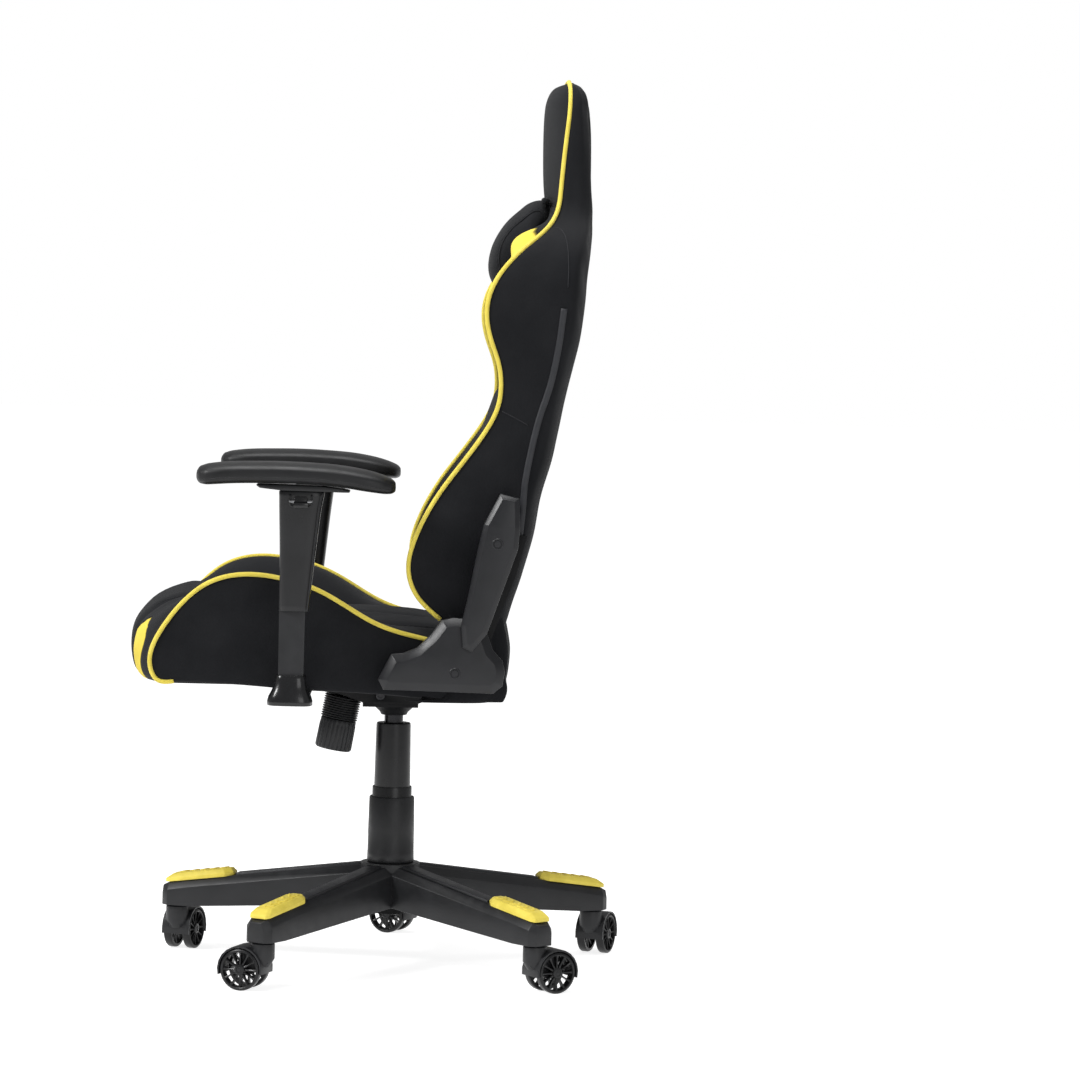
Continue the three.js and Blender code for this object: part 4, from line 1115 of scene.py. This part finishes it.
def arm_sleeve(side, sign):
    x = sign * ARM_X
    body = f"armrest_{side}"
    stations = [(544, -140.6, 15.0, 20.2), (544.6, -140.6, 15.6, 20.8), (552, -140.6, 15.9, 21),
                (600, -138.5, 17.2, 23.6), (650, -136.7, 18.6, 26.8), (690, -135.1, 20.2, 29.8),
                (706, -133.7, 21, 31.6), (712, -133.5, 21.2, 32), (713.4, -133.5, 20.2, 31)]
    rings = rounded_rings(x, 4, stations)
    rings += rounded_rings(x, 9, [(713.4, -142, 12.4, 19.8), (544, -142, 12.4, 19.8)])
    hollow(f"arm_sleeve_cover_{side}", rings, body, satin_plastic, "nylon", f"arm_sleeve_{side}")
    # a thin raised line at the sleeve's rear outer corner; its lighter plastic is a painted highlight along
    # that edge
    line = [(x + sign * half_x * 0.93, y + half_y * 0.93, z) for z, y, half_x, half_y in stations[1:8]]
    line = tube_mesh(smooth_path(line, 8), 0.8, 6)
    add_object(f"arm_sleeve_painted_highlight_line_{side}", line, body, post_plastic, "nylon")
    rings = [[(x - half, y, low), (x - half, y, high), (x + half, y, high), (x + half, y, low)]
             for y, low, high, half in ((-197, 720, 722, 18), (-192, 717, 722, 24), (-160, 714, 722, 26),
                                        (-104, 713.6, 721, 26), (-76, 713, 718, 25), (-66, 713, 716, 20))]
    lofted(f"arm_plate_{side}", rings, 1.2, body, satin_plastic, "nylon")


LATCH_Y = -134


def arm_latch(side, sign):
    """The height button, in a bent surround with a bright lip over it."""
    body = f"armrest_{side}"
    out = ARM_X + 21.4  # the sleeve's outer face
    surround = [(out, -149, 709), (out + 0.8, -149, 697), (out + 1.2, -146, 692), (out + 1.2, -122, 692),
                (out + 0.8, -119, 697), (out, -119, 709)]
    mesh = tube_mesh(smooth_path([(sign * x, y, z) for x, y, z in surround], 3), 1.3, 8)
    add_object(f"arm_button_surround_{side}", mesh, body, satin_plastic, "nylon")
    rings = []
    for y, up, half in ((-151, 1.6, 0.6), (-149, 0.4, 1.2), (-146, 0, 1.6), (-122, 0, 1.6), (-119, 0.4, 1.2),
                        (-117, 1.6, 0.6)):
        rings.append([(sign * (out + dx), y, z + up) for dx, z in (
            (-2, 698 - half), (-2, 700 + half), (1.2, 699.4 + half), (3.4, 697.6))])
    lofted(f"arm_button_lip_{side}", rings, 0.3, body, bright_lip, "bright")
    rings = []
    for z, half, deep in ((690, 9.5, 3.5), (692, 10.5, 4.6), (697, 10.5, 4.4), (699, 9.5, 2.6),
                          (706, 8.5, 1.6)):
        rings.append([(sign * (out + dx), LATCH_Y + dy, z) for dx, dy in (
            (-5, -half), (deep, -half), (deep, half), (-5, half))])
    button = f"arm_button_{side}"
    lofted(f"arm_latch_{side}", rings, 0.8, button, gloss_plastic, "gloss", button)


def arm_post(side, sign):
    bracket = refined(f"arm_post_{side}", f"arm_bracket_{side}", post_plastic, 3.0, 3, "steel", 60)
    middle = at(0, -143, 0).y
    for v in bracket.data.vertices:  # the post fills its sleeve
        if v.co.z > 440 * MM and abs(abs(v.co.x) - ARM_X * MM) < 20 * MM:
            v.co.y = middle + (v.co.y - middle) * 1.09
    outer = [(411, -144, 25, 31), (412, -144, 26, 32), (417, -144, 26, 32), (424, -144, 24.6, 30),
             (432, -143.6, 21.6, 26), (440, -143.2, 19, 23.4), (447, -143, 17.6, 21.8), (452, -143, 17, 21.2),
             (453.4, -143, 16, 20.2)]
    inner = [(453.4, -143, 12.2, 19.4), (446, -143, 12.2, 19.4), (436, -143.4, 15.8, 20), (411, -144, 22, 28)]
    rings = rounded_rings(sign * ARM_X, 3.4, outer) + rounded_rings(sign * ARM_X, 6, inner)
    hollow(f"arm_foot_cover_{side}", rings, "seat", gloss_plastic, "gloss", f"arm_boot_{side}")


# ---- base and casters
ARM_SLOPE = 0.1395
PAD_Y, PAD_HEIGHT = 280, 124.6  # the pads' height, there and falling with the arm
PAD_FOOT = [(-10, 240), (10, 240), (17.6, 252), (17.2, 338), (13, 345), (-13, 345), (-17.2, 338),
            (-17.6, 252)]
PAD_TOP = [(-7, 245), (7, 245), (13.5, 255), (13, 329), (10, 334), (-10, 334), (-13, 329), (-13.5, 255)]
BAR_FACES = [(0, 1, 3, 2), (4, 5, 7, 6), (0, 1, 5, 4), (2, 3, 7, 6), (0, 2, 6, 4), (1, 3, 7, 5)]


def grip_rib(spin, y, sx):
    """One half of a rib, slanting away from the pad's middle line."""
    bar = [(sx * u, y + v + dy) for u, v in ((0.5, 4.5), (9.5, -3.5)) for dy in (-2.6, 2.6)]
    points = [spin @ Vector((px * narrow, py, PAD_HEIGHT + lift - (py - PAD_Y) * ARM_SLOPE))
              for narrow, lift in ((1, -1.2), (0.93, 1.5)) for px, py in bar]
    return bevel_mesh(from_points(points, BAR_FACES), 0.5, 2)


def base():
    refined("star_base", "five_star_base", base_plastic, 1.6, 2, "nylon", 20)
    for i in range(1, 6):
        place = Vector(joints[f"caster_{i}_swivel"]["pos_m"]) / MM
        spin = Matrix.Rotation(math.atan2(-place.x, place.y - COLUMN_Y), 4, "Z")
        slab = [[spin @ Vector((x, y, height - (y - PAD_Y) * ARM_SLOPE)) for x, y in outline]
                for outline, height in ((PAD_FOOT, 113), (PAD_FOOT, 118.5), (PAD_TOP, PAD_HEIGHT))]
        sharpen(add_object(f"foot_grip_{i}", bevel_mesh(loft_mesh(slab), 0.8, 2, 14), "base", grip_rubber,
                           "yellow", f"foot_pad_{i}"), 30)
        ribs = joined([grip_rib(spin, 258 + 15.5 * k, sx) for k in range(5) for sx in (1, -1)])
        sharpen(add_object(f"foot_grip_ribs_{i}", ribs, "base", grip_rubber, "yellow"))
        # a raised strip along the arm's top; its lighter colour is a painted highlight where light falls on
        # the top
        strip = [[spin @ Vector((x, y, z + up)) for x, up in (
            (-width, -3), (width, -3), (width - 1.5, 0.9), (1.5 - width, 0.9))]
                 for y, width, z in ((40, 12.5, 149.4), (140, 12, 135.5), (236, 11.5, 122.2))]
        lofted(f"arm_top_strip_{i}", strip, 0.6, "base", strip_plastic_with_painted_highlight, "nylon")


SPOKES = 12


def wheel_mesh():
    """A wheel about the x axis at the origin, from x = 0 out: tread with its rim, hub and spokes."""
    lie = Matrix.Rotation(math.pi / 2, 4, "Y")
    tread = [(25, 0.8), (28.6, 0.8), (29.7, 2), (30, 3.4), (30, 10.4), (29.7, 11.8), (28.6, 12.9),
             (26.4, 13.3), (25.4, 12.6), (25, 11.4)]
    hub = [(0, 2), (8, 2), (8, 11.6), (7.2, 12.8), (4.6, 13.2), (4.2, 12.4), (0, 12.2)]
    parts = [turned_mesh(tread, 64, lie), turned_mesh(hub, 40, lie)]
    for k in range(SPOKES):
        spin = Matrix.Rotation(2 * math.pi * k / SPOKES, 4, "X")
        rings = [[spin @ Vector((x, y, r)) for x, y in (
            (low, -half), (high - 0.6, -half), (high, 0), (high - 0.6, half), (low, half))]
                 for r, half, low, high in ((6.5, 1.5, 4, 11.6), (14, 1.0, 5, 10.8), (21, 1.15, 4, 11.2),
                                            (25.4, 2.0, 3, 12))]
        parts.append(loft_mesh(rings))
    mesh = joined(parts)
    mesh.transform(Matrix.Translation((0, -COLUMN_Y * MM, 0)))
    return mesh


WHEEL_OUT = 8.4  # from a caster's middle to the inner side of its wheels


def casters():
    wheel = wheel_mesh()
    for i in range(1, 6):
        refined(f"caster_fork_{i}", f"caster_body_{i}", base_plastic, 0.7, 2, "nylon", 30)
        for letter, sign in (("a", 1), ("b", -1)):
            joint = joints[f"wheel_{i}{letter}_roll"]
            axle, centre = Vector(joint["axis"]), Vector(joint["pos_m"])
            turn = math.atan2(axle.y, axle.x) + (0 if sign > 0 else math.pi)
            mesh = wheel.copy()
            place = Matrix.Translation(centre + axle * sign * WHEEL_OUT * MM)
            mesh.transform(place @ Matrix.Rotation(turn, 4, "Z"))
            node = f"caster_wheel_{i}{letter}"
            sharpen(add_object(f"castor_wheel_{i}{letter}", mesh, nodes[node]["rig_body"], wheel_plastic,
                               "gloss", node))


# ---- light, floor and camera
AMBIENT = 0.42  # how much of the white surround lights the chair
FLOOR_REACH = 40


def put(name, data):
    obj = bpy.data.objects.new(name, data)
    bpy.context.scene.collection.objects.link(obj)
    return obj


LAMPS = (
    # name, place, target, size in metres, watts
    ("key", (2.2, -3.9, 3.8), (0, 0, 0.7), 1.5, 230),
    ("fill", (4.6, 1.8, 1.8), (0, 0, 0.7), 2.0, 32),
    ("top", (0.3, -0.2, 4.2), (0, 0, 0), 2.6, 130),
)


def studio():
    """A white surround, a pale floor and three lamps."""
    scene = bpy.context.scene
    scene.view_settings.view_transform = "Standard"
    world = bpy.data.worlds.new("studio")
    scene.world = world
    world.use_nodes = True
    background = world.node_tree.nodes["Background"]
    background.inputs["Color"].default_value = (1, 1, 1, 1)
    seen = add_node(world, "ShaderNodeLightPath", {}, "Is Camera Ray")
    level = map_range(world, seen, 0, 1, (AMBIENT, 1.0), "LINEAR")
    world.node_tree.links.new(level, background.inputs["Strength"])
    pale = material("floor", (0.5, 0.5, 0.5), 0.95, specular=0.0)
    shader_input(pale, "Emission Color").default_value = (1, 1, 1, 1)
    shader_input(pale, "Emission Strength").default_value = 0.82
    mesh = bpy.data.meshes.new("floor")
    corners = [(x * FLOOR_REACH, y * FLOOR_REACH, 0) for x, y in ((-1, -1), (1, -1), (1, 1), (-1, 1))]
    mesh.from_pydata(corners, [], [(0, 1, 2, 3)])
    mesh.materials.append(pale)
    put("floor", mesh)
    for name, place, target, size, power in LAMPS:
        lamp = bpy.data.lights.new(name, "AREA")
        lamp.size = size
        lamp.energy = power
        obj = put(name, lamp)
        obj.location = place
        obj.rotation_euler = (Vector(target) - Vector(place)).to_track_quat("-Z", "Y").to_euler()


def camera():
    """Level with the backrest, 6 m from the column on the sitter's left, looking a little down."""
    pitch, yaw, roll = (math.radians(a) for a in (2.892, 1.400, 1.5))
    forward = Vector((-math.cos(pitch) * math.cos(yaw), math.cos(pitch) * math.sin(yaw), -math.sin(pitch)))
    right = Vector((math.sin(yaw), math.cos(yaw), 0))
    up = right.cross(forward)
    right_turned = right * math.cos(roll) + up * math.sin(roll)
    up_turned = up * math.cos(roll) - right * math.sin(roll)
    axes = Matrix((right_turned, up_turned, -forward)).transposed().to_4x4()
    data = bpy.data.cameras.new("camera")
    data.sensor_width = 36
    data.lens = 134.8
    data.clip_end = 100
    obj = put("camera", data)
    obj.matrix_world = Matrix.Translation(at(6000, 64, 940)) @ axes
    bpy.context.scene.camera = obj


studio()
camera()
back_trim(back_shell())
rear_skirt()
pillows()
seat_shell()
column()
mechanism()
knob()
recliner_covers()
for side, sign in SIDES:
    arm_pad(side, sign)
    arm_sleeve(side, sign)
    arm_latch(side, sign)
    arm_post(side, sign)
base()
casters()
